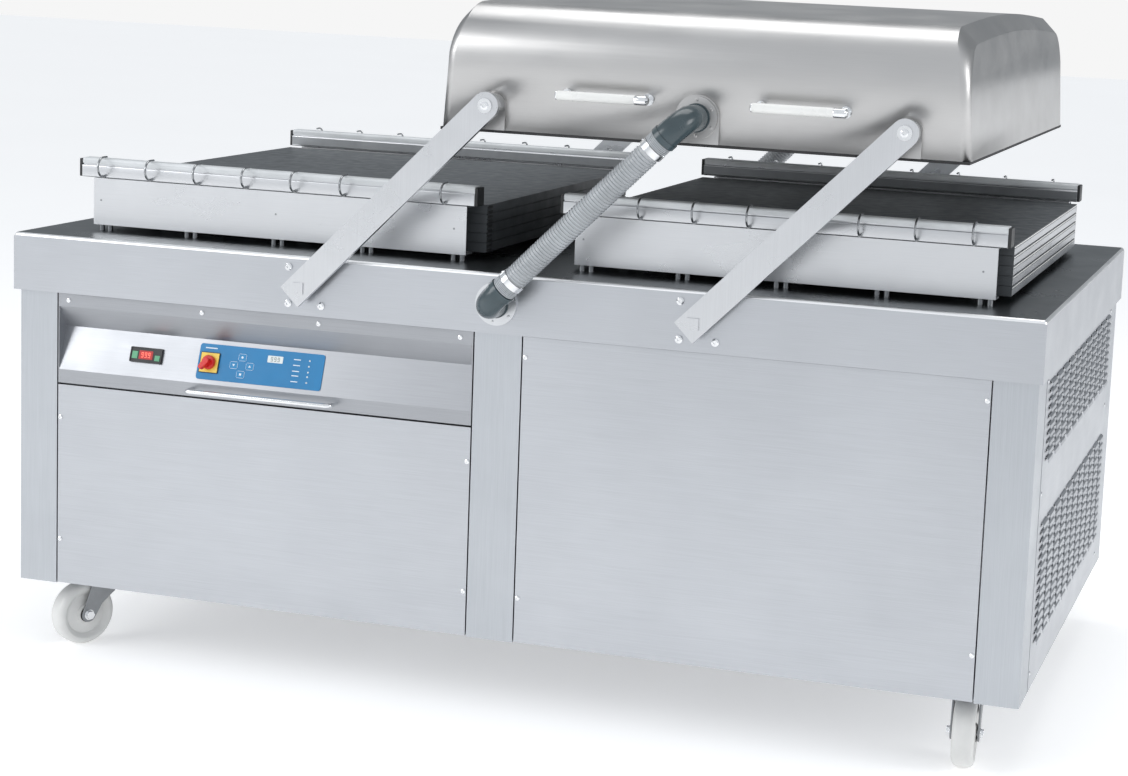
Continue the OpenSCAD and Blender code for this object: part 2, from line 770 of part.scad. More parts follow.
// Hollow 90 degree elbow: a spigot along Y at the origin, turning into the hose direction
module elbow(face_y, spigot_l, spigot_r) {
  r = hose_d / 2 + 3;
  straight = hose_y - elbow_r;
  difference() {
    union() {
      bar_along_y(r, -straight, -face_y);
      bar_along_y(spigot_r, -face_y, -face_y + spigot_l);
      rotate([0, arm_angle, 0]) translate([0, -straight, elbow_r]) rotate([0, 90, 0]) rotate([0, 0, -90])
        rotate_extrude(angle = 90) translate([elbow_r, 0]) circle(r = r);
      rotate([0, arm_angle, 0]) translate([0, -hose_y, elbow_r]) cylinder(r = r, h = cuff_l);
    }
    bar_along_y(spigot_r - 4, -straight, -face_y + spigot_l + 1);
    rotate([0, arm_angle, 0]) translate([0, -straight, elbow_r]) rotate([0, 90, 0]) rotate([0, 0, -90])
      rotate_extrude(angle = 90) translate([elbow_r, 0]) circle(r = spigot_r - 4);
    rotate([0, arm_angle, 0]) translate([0, -hose_y, elbow_r]) cylinder(r = spigot_r - 4, h = cuff_l + 1);
  }
}

lid_port_face = lid_d / 2 + 3 + 6;
hose_side_gap = 0.4;

module hose_elbows() {
  color(slate) {
    translate([0, 0, pivot_z]) elbow(worktop_d / 2 + 6 + hose_side_gap, 24, port_r);
    translate([arm_dx, 0, pivot_z + arm_dz])
      mirror([1, 0, 0]) mirror([0, 0, 1]) elbow(lid_port_face + hose_side_gap, 14, port_r);
  }
}

module front_hose() { hose(); }
module rear_hose() { mirror([0, 1, 0]) hose(); }
module front_hose_elbows() { hose_elbows(); }
module rear_hose_elbows() { mirror([0, 1, 0]) hose_elbows(); }

// ---------- lid ----------

lid_x = arm_dx;
end_lean = 3.5;
end_bevel = 34;

// Closed lid block, drawn round x = 0 with its rim at z = 0; inset shrinks it on every side but the rim
module lid_block(inset) {
  hy = lid_d / 2 - inset;
  hx = lid_l / 2 - inset;
  h = lid_h - inset;
  r = lid_roll_r - inset;
  crown_n = 8;
  profile = concat(
    [[-hy, 0]],
    arc([-hy + r, h - r], r, 180, 90, 16),
    [for (i = [1:crown_n - 1])
      let (u = i / crown_n) [-hy + r + u * 2 * (hy - r), h + lid_crown * sin(180 * u)]],
    arc([hy - r, h - r], r, 90, 0, 16),
    [[hy, 0]]
  );
  difference() {
    translate([-hx, 0, 0]) extrude_along_x(2 * hx) polygon(profile);
    for (side = [0, 1]) mirror([side, 0, 0]) {
      translate([hx, -hy - 1, 0]) rotate([0, -end_lean, 0]) cube([100, 2 * hy + 2, lid_h + 100]);
      translate([hx - 13 - end_bevel, -hy - 1, h]) rotate([0, 45, 0]) cube([200, 2 * hy + 2, 60]);
    }
  }
}

module lid_shell() {
  hole_y = lid_d / 2;
  color(steel) translate([lid_x, 0, lid_z]) difference() {
    lid_block(0);
    translate([0, 0, -0.01]) lid_block(lid_t);
    translate([0, 0, pivot_rise]) bar_along_y(port_r + 2, -hole_y - 1, hole_y + 1);
  }
}

module lid_gasket() {
  t = lid_t + 4;
  hx = lid_l / 2;
  hy = lid_d / 2;
  color(dark) translate([lid_x, 0, lid_z - gasket_h]) difference() {
    span([-hx + 1, -hy + 1, 0], [hx - 1, hy - 1, gasket_h]);
    span([-hx + t, -hy + t, -1], [hx - t, hy - t, gasket_h + 1]);
  }
}

// Plate with a rounded top and a flat bottom at the lid's rim, standing on the lid's front face
module tombstone(x, half_w, thick) {
  y0 = lid_d / 2;
  translate([x, 0, 0]) {
    bar_along_y(half_w, -y0 - thick, -y0);
    span([-half_w, -y0 - thick, -pivot_rise], [half_w, -y0, 0]);
  }
}

module lid_brackets() {
  y0 = lid_d / 2;
  color(steel) translate([lid_x, 0, lid_z + pivot_rise]) front_and_rear() {
    for (x = [-pivot_half, pivot_half]) tombstone(x, 24, 5);
    difference() {
      union() {
        tombstone(0, 46, 3);
        bar_along_y(43, -y0 - 9, -y0 - 3);
      }
      bar_along_y(port_r + open_pivot_gap, -y0 - 10, -y0 + 1);
    }
    for (a = [30:60:330]) translate([36 * cos(a), -y0 - 9, 36 * sin(a)]) button_screw(3.2, 2, 0, 0);
  }
}

module lid_pivot_bolts() {
  y0 = lid_d / 2 + 5;
  side_gap = 0.3;
  color(bright) translate([lid_x, 0, lid_z + pivot_rise]) front_and_rear()
    for (x = [-pivot_half, pivot_half]) translate([x, 0, 0]) union() {
      bar_along_y(15, -arm_y1 + side_gap, -y0);
      bar_along_y(bolt_r, -arm_y0 - side_gap, -arm_y1 + side_gap);
      bar_along_y(15, -arm_y0 - 3, -arm_y0 - side_gap);
      translate([0, -arm_y0 - 3, 0]) button_screw(8, 5, 0, 0);
    }
}

handle_places = [-190, 216];
handle_l = 196;
handle_rise = 81;

module lid_handles() {
  out = 38;
  y0 = lid_d / 2;
  color(white) translate([lid_x, 0, lid_z + handle_rise]) front_and_rear()
    for (x = handle_places) translate([x, 0, 0]) {
      translate([0, -y0 - out, 0]) bar_along_x(10, -handle_l / 2, handle_l / 2);
      for (s = [-1, 1]) translate([s * (handle_l / 2 - 12), 0, 0]) bar_along_y(7, -y0 - out, -y0);
    }
}

counter_gap = 2;

module lid_counter_bars() {
  z_bar = bar_z + bar_box_h + bar_strip_h + bar_travel + counter_gap - (worktop_z + gasket_h);
  z_roof = lid_h - lid_t;
  y0 = bar_y - 16;
  color(dark) translate([lid_x, 0, lid_z]) front_and_rear() {
    span([-bar_l / 2, -y0, z_bar], [bar_l / 2, -y0 + 20, z_bar + 18]);
    for (x = [-300, 0, 300]) span([x - 20, -y0 + 2, z_bar + 18], [x + 20, -y0 + 18, z_roof]);
  }
}

// ---------- casters ----------

axle_z = wheel_d / 2;

// Swivel angle of each caster: 0 trails to the front
front_left_turn = -28;
front_right_turn = 5;
rear_left_turn = 150;
rear_right_turn = 200;

module at_caster(sx, sy, turn) {
  translate([sx * caster_x, sy * caster_y, 0]) rotate([0, 0, turn]) children();
}

module caster_fork() {
  leg_t = 5;
  leg_x = wheel_w / 2 + 3;
  top = cabinet_z - 6.5;
  color(steel) union() {
    translate([0, 0, top - 8]) cylinder(r = 36, h = 8);
    difference() {
      for (s = [0, 1]) mirror([s, 0, 0]) translate([leg_x, 0, 0]) extrude_along_x(leg_t)
        polygon(concat(
          [[32, top - 8], [-34, top - 8]],
          arc([-caster_trail, axle_z], 16, 150, 330, 12)
        ));
      translate([0, -caster_trail, axle_z]) bar_along_x(7, -60, 60);
    }
    translate([0, -caster_trail, axle_z]) {
      bar_along_x(7, -leg_x - leg_t - 6, leg_x + leg_t + 6);
      for (s = [0, 1])
        mirror([s, 0, 0]) translate([leg_x + leg_t, 0, 0]) rotate([0, 90, 0]) cylinder(r = 12, h = 5, $fn = 6);
    }
    span([-leg_x - leg_t, -34, top - 12], [leg_x + leg_t, 32, top - 8]);
  }
}

module caster_wheel() {
  crown_r = 8;
  color(white) translate([0, -caster_trail, axle_z]) rotate([0, 90, 0]) difference() {
    union() {
      cylinder(r = wheel_d / 2, h = wheel_w - 2 * crown_r, center = true);
      cylinder(r = wheel_d / 2 - crown_r, h = wheel_w, center = true);
      for (s = [-1, 1]) translate([0, 0, s * (wheel_w / 2 - crown_r)])
        rotate_extrude() translate([wheel_d / 2 - crown_r, 0]) circle(r = crown_r);
    }
    cylinder(r = 7 + fit, h = wheel_w + 2, center = true);
    for (s = [0, 1]) mirror([0, 0, s]) translate([0, 0, wheel_w / 2 - 6])
      rotate_extrude() translate([24, 0]) square([26, 7]);
  }
}

module caster_fork_front_left() { at_caster(-1, -1, front_left_turn) caster_fork(); }
module caster_fork_front_right() { at_caster(1, -1, front_right_turn) caster_fork(); }
module caster_fork_rear_left() { at_caster(-1, 1, rear_left_turn) caster_fork(); }
module caster_fork_rear_right() { at_caster(1, 1, rear_right_turn) caster_fork(); }
module caster_wheel_front_left() { at_caster(-1, -1, front_left_turn) caster_wheel(); }
module caster_wheel_front_right() { at_caster(1, -1, front_right_turn) caster_wheel(); }
module caster_wheel_rear_left() { at_caster(-1, 1, rear_left_turn) caster_wheel(); }
module caster_wheel_rear_right() { at_caster(1, 1, rear_right_turn) caster_wheel(); }

base_frame();
floor_pan();
posts();
top_frame();
worktop();
front_left_panel();
front_right_panel();
left_side_panel();
right_side_panel();
rear_panel();
control_fascia();
hand_rail();
panel_screws();
arm_bearings();
bearing_bolts();
hose_port_flanges();
vacuum_manifold();
vacuum_pump();
pump_motor();
sealing_transformer();
cable_gland();
temperature_controller();
keypad_panel();
switch_plate();
switch_knob();
key_set();
key_less();
key_more();
key_stop();
controller_key_left();
controller_key_right();
left_insert_plates();
right_insert_plates();
bar_carriers();
station_feet();
lift_cylinders();
bar_front_left();
bar_rear_left();
bar_front_right();
bar_rear_right();
left_arms();
right_arms();
front_hose();
rear_hose();
front_hose_elbows();
rear_hose_elbows();
lid_shell();
lid_gasket();
lid_brackets();
lid_pivot_bolts();
lid_handles();
lid_counter_bars();
caster_fork_front_left();
caster_fork_front_right();
caster_fork_rear_left();
caster_fork_rear_right();
caster_wheel_front_left();
caster_wheel_front_right();
caster_wheel_rear_left();
caster_wheel_rear_right();
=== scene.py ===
import json
import math

import bmesh
import bpy
from mathutils import Matrix, Vector


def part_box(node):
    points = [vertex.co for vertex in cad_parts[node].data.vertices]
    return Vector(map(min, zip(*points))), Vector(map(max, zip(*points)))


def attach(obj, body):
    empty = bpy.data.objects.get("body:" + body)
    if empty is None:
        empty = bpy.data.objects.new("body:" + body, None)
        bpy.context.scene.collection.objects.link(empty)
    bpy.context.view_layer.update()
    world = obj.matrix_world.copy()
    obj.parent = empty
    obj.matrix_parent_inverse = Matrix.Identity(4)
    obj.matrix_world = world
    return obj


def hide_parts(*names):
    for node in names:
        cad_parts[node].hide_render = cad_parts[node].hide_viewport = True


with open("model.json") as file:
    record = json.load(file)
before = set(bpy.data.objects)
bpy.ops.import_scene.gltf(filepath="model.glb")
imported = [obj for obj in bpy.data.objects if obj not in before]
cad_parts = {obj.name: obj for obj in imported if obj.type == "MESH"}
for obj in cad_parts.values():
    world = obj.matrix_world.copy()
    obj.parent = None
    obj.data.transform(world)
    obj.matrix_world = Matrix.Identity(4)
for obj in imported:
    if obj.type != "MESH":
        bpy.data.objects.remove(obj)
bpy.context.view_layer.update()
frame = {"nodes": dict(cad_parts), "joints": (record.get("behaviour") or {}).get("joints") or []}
nodes = frame["nodes"]

MM = 0.001
X, Y, Z = Vector((1, 0, 0)), Vector((0, 1, 0)), Vector((0, 0, 1))


def mm(*values):
    """A point given in millimetres, in metres."""
    return Vector(values) * MM


# ---------- the machine's main sizes, from the frame ----------

low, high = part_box("worktop")
TOP_Z = high.z
HALF_Y = high.y

LID_LOW, LID_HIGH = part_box("lid_shell")
LID_X = (LID_LOW.x + LID_HIGH.x) / 2
PIVOT_RISE = 52 * MM
ARM_LENGTH = 575 * MM
ARM_ANGLE = math.radians(45)
ARM_DIRECTION = Vector((math.sin(ARM_ANGLE), 0, math.cos(ARM_ANGLE)))
SHAFT_Z = 877 * MM
UPPER_PIVOT_Z = LID_LOW.z + PIVOT_RISE


# ---------- mesh helpers ----------

class Shape:
    """Collects solids in one mesh, which make() turns into a piece of the object."""

    def __init__(self):
        self.bm = bmesh.new()

    def _add(self, points, faces, place):
        place = place or Matrix.Identity(4)
        made = [self.bm.verts.new(place @ Vector(p)) for p in points]
        for face in faces:
            self.bm.faces.new([made[i] for i in face])
        return made

    def prism(self, outline, h0, h1, place=None):
        """A flat outline in the local XY plane, extruded along local Z."""
        n = len(outline)
        points = [(x, y, h) for h in (h0, h1) for x, y in outline]
        sides = [(i, (i + 1) % n, n + (i + 1) % n, n + i) for i in range(n)]
        self._add(points, [tuple(reversed(range(n))), tuple(range(n, 2 * n))] + sides, place)
        return self

    def box(self, a, b, place=None):
        lo = Vector(map(min, a, b))
        hi = Vector(map(max, a, b))
        outline = [(lo.x, lo.y), (hi.x, lo.y), (hi.x, hi.y), (lo.x, hi.y)]
        return self.prism(outline, lo.z, hi.z, place)

    def turn(self, profile, place=None, steps=48):
        """A profile of (radius, height) turned about local Z, closed where it meets the axis or itself."""
        place = place or Matrix.Identity(4)
        rings = []
        for r, h in profile:
            if r < 1e-9:
                rings.append([self.bm.verts.new(place @ Vector((0, 0, h)))] * steps)
                continue
            ring = []
            for i in range(steps):
                a = 2 * math.pi * i / steps
                ring.append(self.bm.verts.new(place @ Vector((r * math.cos(a), r * math.sin(a), h))))
            rings.append(ring)
        closed = profile[0][0] > 1e-9
        pairs = list(zip(rings, rings[1:])) + ([(rings[-1], rings[0])] if closed else [])
        for a, b in pairs:
            for i in range(steps):
                j = (i + 1) % steps
                corners = []
                for v in (a[i], a[j], b[j], b[i]):
                    if v not in corners:
                        corners.append(v)
                if len(corners) > 2:
                    self.bm.faces.new(corners)
        return self

    def tube(self, path, radius, sides=12, inner=None, radius_at=None):
        """A round rod along a path of points, or a pipe where inner is its bore's radius."""
        path = [Vector(p) for p in path]
        frames = path_frames(path)
        loops = []
        for k, (point, u, v) in enumerate(frames):
            r = radius_at(k) if radius_at else radius
            loops.append([self.bm.verts.new(point + r * (math.cos(a) * u + math.sin(a) * v))
                          for a in circle_angles(sides)])
        self._skin(loops, False)
        if inner is None:
            self.bm.faces.new(list(reversed(loops[0])))
            self.bm.faces.new(loops[-1])
            return self
        bores = [[self.bm.verts.new(point + inner * (math.cos(a) * u + math.sin(a) * v))
                  for a in circle_angles(sides)] for point, u, v in frames]
        self._skin(bores, True)
        for outer, bore, flip in ((loops[0], bores[0], True), (loops[-1], bores[-1], False)):
            for i in range(sides):
                j = (i + 1) % sides
                quad = [outer[i], outer[j], bore[j], bore[i]]
                self.bm.faces.new(quad[::-1] if flip else quad)
        return self

    def _skin(self, loops, flip):
        n = len(loops[0])
        for a, b in zip(loops, loops[1:]):
            for i in range(n):
                j = (i + 1) % n
                quad = [a[i], a[j], b[j], b[i]]
                self.bm.faces.new(quad[::-1] if flip else quad)

    def make(self, name, material, body, replaces=(), slot=None, bevel=0.0, smooth=35, segments=2):
        """Makes the piece, which moves with a CAD body."""
        bmesh.ops.recalc_face_normals(self.bm, faces=self.bm.faces)
        mesh = bpy.data.meshes.new(name)
        self.bm.to_mesh(mesh)
        self.bm.free()
        for face in mesh.polygons:
            face.use_smooth = True
        mesh.set_sharp_from_angle(angle=math.radians(smooth))
        piece = bpy.data.objects.new(name, mesh)
        bpy.context.scene.collection.objects.link(piece)
        mesh.materials.append(material)
        if bevel:
            add_bevel(piece, bevel, segments)
        if replaces:
            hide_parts(*replaces)
        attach(piece, body)
        return piece


def circle_angles(sides):
    return [2 * math.pi * i / sides for i in range(sides)]


def path_frames(path):
    """Each point of a path with two directions square to it, which don't twist along it."""
    tangents = []
    for i in range(len(path)):
        a, b = path[max(i - 1, 0)], path[min(i + 1, len(path) - 1)]
        tangents.append((b - a).normalized())
    side = Y if abs(tangents[0].dot(Y)) < 0.9 else X
    u = (side - tangents[0] * side.dot(tangents[0])).normalized()
    frames = []
    for point, t in zip(path, tangents):
        u = (u - t * u.dot(t)).normalized()
        frames.append((point, u, t.cross(u)))
    return frames


def add_bevel(piece, width, segments=2):
    bevel = piece.modifiers.new("edges", "BEVEL")
    bevel.width = width
    bevel.segments = segments
    bevel.limit_method = "ANGLE"
    bevel.angle_limit = math.radians(40)
    bevel.harden_normals = True


def arc(centre, radius, a0, a1, steps=10):
    """Points of an arc in a plane, in degrees."""
    points = []
    for i in range(steps + 1):
        a = math.radians(a0 + (a1 - a0) * i / steps)
        points.append((centre[0] + radius * math.cos(a), centre[1] + radius * math.sin(a)))
    return points


def rounded_rectangle(w, h, r, steps=6):
    points = []
    for sx, sy, a in ((1, 1, 0), (-1, 1, 90), (-1, -1, 180), (1, -1, 270)):
        points += arc((sx * (w / 2 - r), sy * (h / 2 - r)), r, a, a + 90, steps)
    return points


def facing(origin, out, up=Z):
    """A place whose local Z points out of a face and whose local Y points up it."""
    out = out.normalized()
    x = up.cross(out).normalized()
    y = out.cross(x)
    return Matrix.Translation(origin) @ Matrix((x, y, out)).transposed().to_4x4()


FRONT, REAR = -Y, Y


# ---------- materials ----------

class Nodes:
    """A node material with one principled shader."""

    def __init__(self, name, color, roughness, metallic=0.0, **sockets):
        self.material = bpy.data.materials.new(name)
        self.material.use_nodes = True
        self.tree = self.material.node_tree
        self.shader = self.tree.nodes["Principled BSDF"]
        self.color = color
        self.roughness = roughness
        self.shader.inputs["Base Color"].default_value = (*color, 1)
        self.shader.inputs["Roughness"].default_value = roughness
        self.shader.inputs["Metallic"].default_value = metallic
        for key, value in sockets.items():
            self.shader.inputs[key.replace("_", " ")].default_value = value

    def add(self, kind, **values):
        node = self.tree.nodes.new(kind)
        for key, value in values.items():
            if key in node.inputs:
                node.inputs[key].default_value = value
            else:
                setattr(node, key, value)
        return node

    def link(self, a, b):
        self.tree.links.new(a, b)

    def noise(self, scale, stretch=(1, 1, 1), detail=3.0):
        """A noise pattern fixed to the object, in metres, squeezed along chosen axes."""
        where = self.add("ShaderNodeTexCoord")
        mapping = self.add("ShaderNodeMapping", Scale=stretch)
        pattern = self.add("ShaderNodeTexNoise", Scale=scale, Detail=detail)
        self.link(where.outputs["Object"], mapping.inputs["Vector"])
        self.link(mapping.outputs["Vector"], pattern.inputs["Vector"])
        return pattern.outputs["Fac"]

    def ramp(self, value, low, high, start=0.3, end=0.7):
        node = self.add("ShaderNodeMapRange")
        node.inputs["From Min"].default_value = start
        node.inputs["From Max"].default_value = end
        node.inputs["To Min"].default_value = low
        node.inputs["To Max"].default_value = high
        self.link(value, node.inputs["Value"])
        return node.outputs["Result"]

    def vary_color(self, value, spread, tint=None):
        """The colour moves by a share of itself with a pattern, towards a tint if there is one."""
        mix = self.add("ShaderNodeMix", data_type="RGBA")
        dark = [c * (1 - spread) for c in self.color]
        light = tint or [min(1, c * (1 + spread)) for c in self.color]
        mix.inputs[6].default_value = (*dark, 1)
        mix.inputs[7].default_value = (*light, 1)
        self.link(value, mix.inputs[0])
        self.link(mix.outputs[2], self.shader.inputs["Base Color"])
        return self

    def vary_roughness(self, value, spread):
        result = self.ramp(value, self.roughness - spread, self.roughness + spread)
        self.link(result, self.shader.inputs["Roughness"])
        return self

    def bump(self, value, strength, distance):
        node = self.add("ShaderNodeBump", Strength=strength, Distance=distance)
        self.link(value, node.inputs["Height"])
        self.link(node.outputs["Normal"], self.shader.inputs["Normal"])
        return self


def brushed_steel(name, color, roughness, along, bump=0.12, spread=0.07, **sockets):
    """Stainless sheet with a fine grain along one axis, faint clouds and handling marks."""
    stretch = [260, 260, 260]
    stretch["XYZ".index(along)] = 2.5
    made = Nodes(name, color, roughness, 1.0, **sockets)
    grain = made.noise(4.0, stretch, 2.0)
    clouds = made.noise(2.2, detail=4.0)
    marks = made.noise(9.0, (1, 1, 1.6), 6.0)
    blend = made.add("ShaderNodeMath", operation="MULTIPLY_ADD")
    made.link(grain, blend.inputs[0])
    blend.inputs[1].default_value = 0.55
    halved = made.add("ShaderNodeMath", operation="MULTIPLY")
    made.link(clouds, halved.inputs[0])
    halved.inputs[1].default_value = 0.45
    made.link(halved.outputs[0], blend.inputs[2])
    made.vary_color(made.ramp(blend.outputs[0], 0, 1, 0.32, 0.68), spread)
    made.vary_roughness(marks, 0.05)
    made.bump(grain, bump, 0.00025)
    return made.material


def smooth_metal(name, color, roughness, scale=30.0, spread=0.06):
    """Turned or polished metal with faint clouds and fine scratches."""
    made = Nodes(name, color, roughness, 1.0)
    made.vary_color(made.ramp(made.noise(scale), 0, 1), spread)
    made.vary_roughness(made.noise(scale * 3, detail=5.0), min(0.05, roughness * 0.5))
    made.bump(made.noise(scale * 20, detail=2.0), 0.05, 0.0002)
    return made.material


def plastic(name, color, roughness, scale=14.0, spread=0.08, grain=0.08, **sockets):
    """Moulded plastic or paint with slight mottling and a fine surface texture."""
    made = Nodes(name, color, roughness, 0.0, **sockets)
    made.vary_color(made.ramp(made.noise(scale, detail=4.0), 0, 1), spread)
    made.vary_roughness(made.noise(scale * 2.5, detail=4.0), min(0.07, roughness * 0.4))
    made.bump(made.noise(900.0, detail=2.0), grain, 0.0003)
    return made.material


def glowing(name, color, strength):
    made = Nodes(name, color, 0.4)
    made.vary_color(made.ramp(made.noise(300.0), 0, 1), 0.05)
    made.shader.inputs["Emission Color"].default_value = (*color, 1)
    made.shader.inputs["Emission Strength"].default_value = strength
    return made.material


STEEL_X = brushed_steel("steel_brushed_across", (0.49, 0.505, 0.53), 0.34, "X")
STEEL_Z = brushed_steel("steel_brushed_upright", (0.47, 0.49, 0.515), 0.36, "Z")
STEEL_Y = brushed_steel("steel_brushed_deep", (0.50, 0.515, 0.54), 0.36, "Y")
# Painted reflection: a dark copy of the worktop steel for its flat top, standing in for the dark
# surroundings it reflects
STEEL_TOP_DARK_REFLECTION = brushed_steel("steel_worktop", (0.17, 0.185, 0.195), 0.30, "X", spread=0.10)
# Painted shade: the panels' stainless made darker for the fascia, to hold back the brighter light its tilted
# face catches
STEEL_FASCIA_SHADED = brushed_steel("steel_fascia_painted_shade", (0.37, 0.38, 0.40), 0.36, "X")
# Painted highlight: a near-white copy of the worktop steel for the upper part of its rounded edge
STEEL_EDGE_HIGHLIGHT = brushed_steel("steel_worktop_edge_painted_highlight", (0.90, 0.905, 0.91), 0.38, "X", spread=0.03)
STEEL_LID = brushed_steel("steel_lid", (0.50, 0.495, 0.49), 0.36, "X", bump=0.05, spread=0.03)
STEEL_BRIGHT = brushed_steel("steel_carrier", (0.64, 0.65, 0.665), 0.30, "X", spread=0.04)
STEEL_ARM = brushed_steel("steel_arm", (0.62, 0.63, 0.645), 0.30, "Z", spread=0.05)
POLISHED = smooth_metal("steel_polished", (0.80, 0.81, 0.82), 0.16)
CHROME = smooth_metal("chrome", (0.80, 0.81, 0.82), 0.09)
HOOK_WIRE = smooth_metal("hook_wire", (0.34, 0.35, 0.36), 0.22)
ALUMINIUM = brushed_steel("bar_aluminium", (0.60, 0.61, 0.625), 0.30, "X", spread=0.05)
DARK_STEEL = smooth_metal("dark_steel", (0.28, 0.29, 0.30), 0.38)
CAST = smooth_metal("cast_machined", (0.30, 0.31, 0.32), 0.45)
# Painted reflection: the plates are made near-black as a stand-in for the dark lid reflected in their tops
PLATE_DARK_REFLECTION = plastic("insert_plate", (0.075, 0.082, 0.088), 0.42, spread=0.12, Specular_IOR_Level=0.35)
BLACK_PLASTIC = plastic("black_plastic", (0.018, 0.019, 0.02), 0.45)
RUBBER = plastic("rubber", (0.022, 0.022, 0.023), 0.7, grain=0.2)
STRIP = plastic("silicone_strip", (0.62, 0.64, 0.65), 0.35)
ELBOW = plastic("elbow_plastic", (0.045, 0.066, 0.075), 0.22, spread=0.15)
WHITE_GRIP = plastic("white_grip", (0.78, 0.78, 0.76), 0.32, spread=0.04)
BLUE = plastic("keypad_film", (0.004, 0.185, 0.42), 0.38, spread=0.06)
BLUE_KEY = plastic("keypad_key", (0.006, 0.215, 0.47), 0.34, spread=0.06)
PRINT = plastic("keypad_print", (0.70, 0.78, 0.84), 0.5, scale=60)
YELLOW = plastic("switch_plate_yellow", (0.88, 0.62, 0.10), 0.4)
RED = plastic("switch_red", (0.62, 0.016, 0.014), 0.25)
GREEN = plastic("controller_green", (0.10, 0.36, 0.19), 0.4)
WHEEL = plastic("wheel_nylon", (0.66, 0.66, 0.645), 0.42, spread=0.07)
ENAMEL = plastic("machine_enamel", (0.10, 0.14, 0.17), 0.35)
RED_WINDOW = glowing("display_red", (0.35, 0.01, 0.01), 0.25)
RED_DIGIT = glowing("digit_red", (1.0, 0.12, 0.08), 2.0)
PALE_WINDOW = plastic("display_pale", (0.72, 0.77, 0.76), 0.3)
DIGIT_DARK = plastic("digit_dark", (0.10, 0.12, 0.12), 0.4)


def hose_plastic():
    """Clear smoky hose wall."""
    made = Nodes("hose_wall", (0.62, 0.64, 0.66), 0.22, 0.0, Transmission_Weight=0.0, Alpha=0.55)
    made.vary_color(made.ramp(made.noise(26.0, detail=3.0), 0, 1), 0.15)
    made.vary_roughness(made.noise(60.0, detail=4.0), 0.06)
    made.bump(made.noise(500.0, detail=2.0), 0.1, 0.0003)
    return made.material


HOSE = hose_plastic()
HOSE_RIB = plastic("hose_spiral", (0.36, 0.38, 0.40), 0.3, spread=0.2)


def dress(names, material, bevel=0.0):
    """Gives CAD nodes their material and softens their cut edges."""
    for name in names:
        node = nodes[name]
        node.data.materials.clear()
        node.data.materials.append(material)
        if bevel:
            planar = node.modifiers.new("flat_faces", "DECIMATE")
            planar.decimate_type = "DISSOLVE"
            planar.angle_limit = math.radians(0.5)
            add_bevel(node, bevel)


dress(["posts"], STEEL_Z, 1.2 * MM)
dress(["front_left_panel", "front_right_panel", "rear_panel"], STEEL_X, 1.2 * MM)
dress(["base_frame", "floor_pan", "top_frame"], STEEL_X)
dress(["panel_screws", "bearing_bolts", "lid_pivot_bolts"], POLISHED)
dress(["arm_bearings", "lift_cylinders"], CAST)
dress(["hose_port_flanges"], STEEL_BRIGHT)
dress(["vacuum_manifold", "vacuum_pump", "pump_motor"], ENAMEL)
dress(["sealing_transformer", "cable_gland"], BLACK_PLASTIC)
# Painted reflection: dark plates standing in for the lid reflected in their tops
dress(["left_insert_plates", "right_insert_plates"], PLATE_DARK_REFLECTION)
dress(["bar_carriers"], STEEL_BRIGHT, 1.5 * MM)
# Painted shade: the station feet are made dark so the gap under the carriers reads as shade
dress(["station_feet"], DARK_STEEL)
dress(["lid_gasket", "lid_counter_bars"], RUBBER)
dress(["left_arms", "right_arms"], STEEL_ARM)
dress(["lid_brackets"], STEEL_LID)
dress(["switch_plate"], YELLOW)
dress(["key_set", "key_less", "key_more", "key_stop"], BLUE_KEY)
dress(["controller_key_left", "controller_key_right"], GREEN)
dress(["keypad_panel"], BLUE)
dress(["temperature_controller"], BLACK_PLASTIC)
dress(["switch_knob"], RED)
# Painted shade: the fascia gets the darker copy of the panel steel
dress(["control_fascia"], STEEL_FASCIA_SHADED, 1.5 * MM)
dress(["worktop"], STEEL_X)
dress(["hand_rail"], CHROME)

# The worktop's flat top gets a dark copy of its steel as a painted dark reflection, and the rounded edge
# round it a near-white copy as a painted highlight
FLAT_UP, HIGHLIGHT_EDGE_UP = 0.97, 0.1
HIGHLIGHT_EDGE_DEPTH = 10 * MM
for material in (STEEL_TOP_DARK_REFLECTION, STEEL_EDGE_HIGHLIGHT):
    nodes["worktop"].data.materials.append(material)
for face in nodes["worktop"].data.polygons:
    if face.normal.z > FLAT_UP and face.center.z > TOP_Z - 1 * MM:
        face.material_index = 1
    elif face.normal.z > HIGHLIGHT_EDGE_UP and face.center.z > TOP_Z - HIGHLIGHT_EDGE_DEPTH:
        face.material_index = 2

dress(["lid_shell"], STEEL_LID)
dress(["lid_handles"], WHITE_GRIP)
dress(["front_hose", "rear_hose"], HOSE_RIB)
dress(["front_hose_elbows", "rear_hose_elbows"], ELBOW)
dress(["left_side_panel", "right_side_panel"], STEEL_Y)
dress(["bar_front_left", "bar_rear_left", "bar_front_right", "bar_rear_right"], ALUMINIUM)
CASTERS = ("front_left", "front_right", "rear_left", "rear_right")
dress(["caster_fork_" + c for c in CASTERS], DARK_STEEL)
dress(["caster_wheel_" + c for c in CASTERS], WHEEL)


# ---------- lid ----------

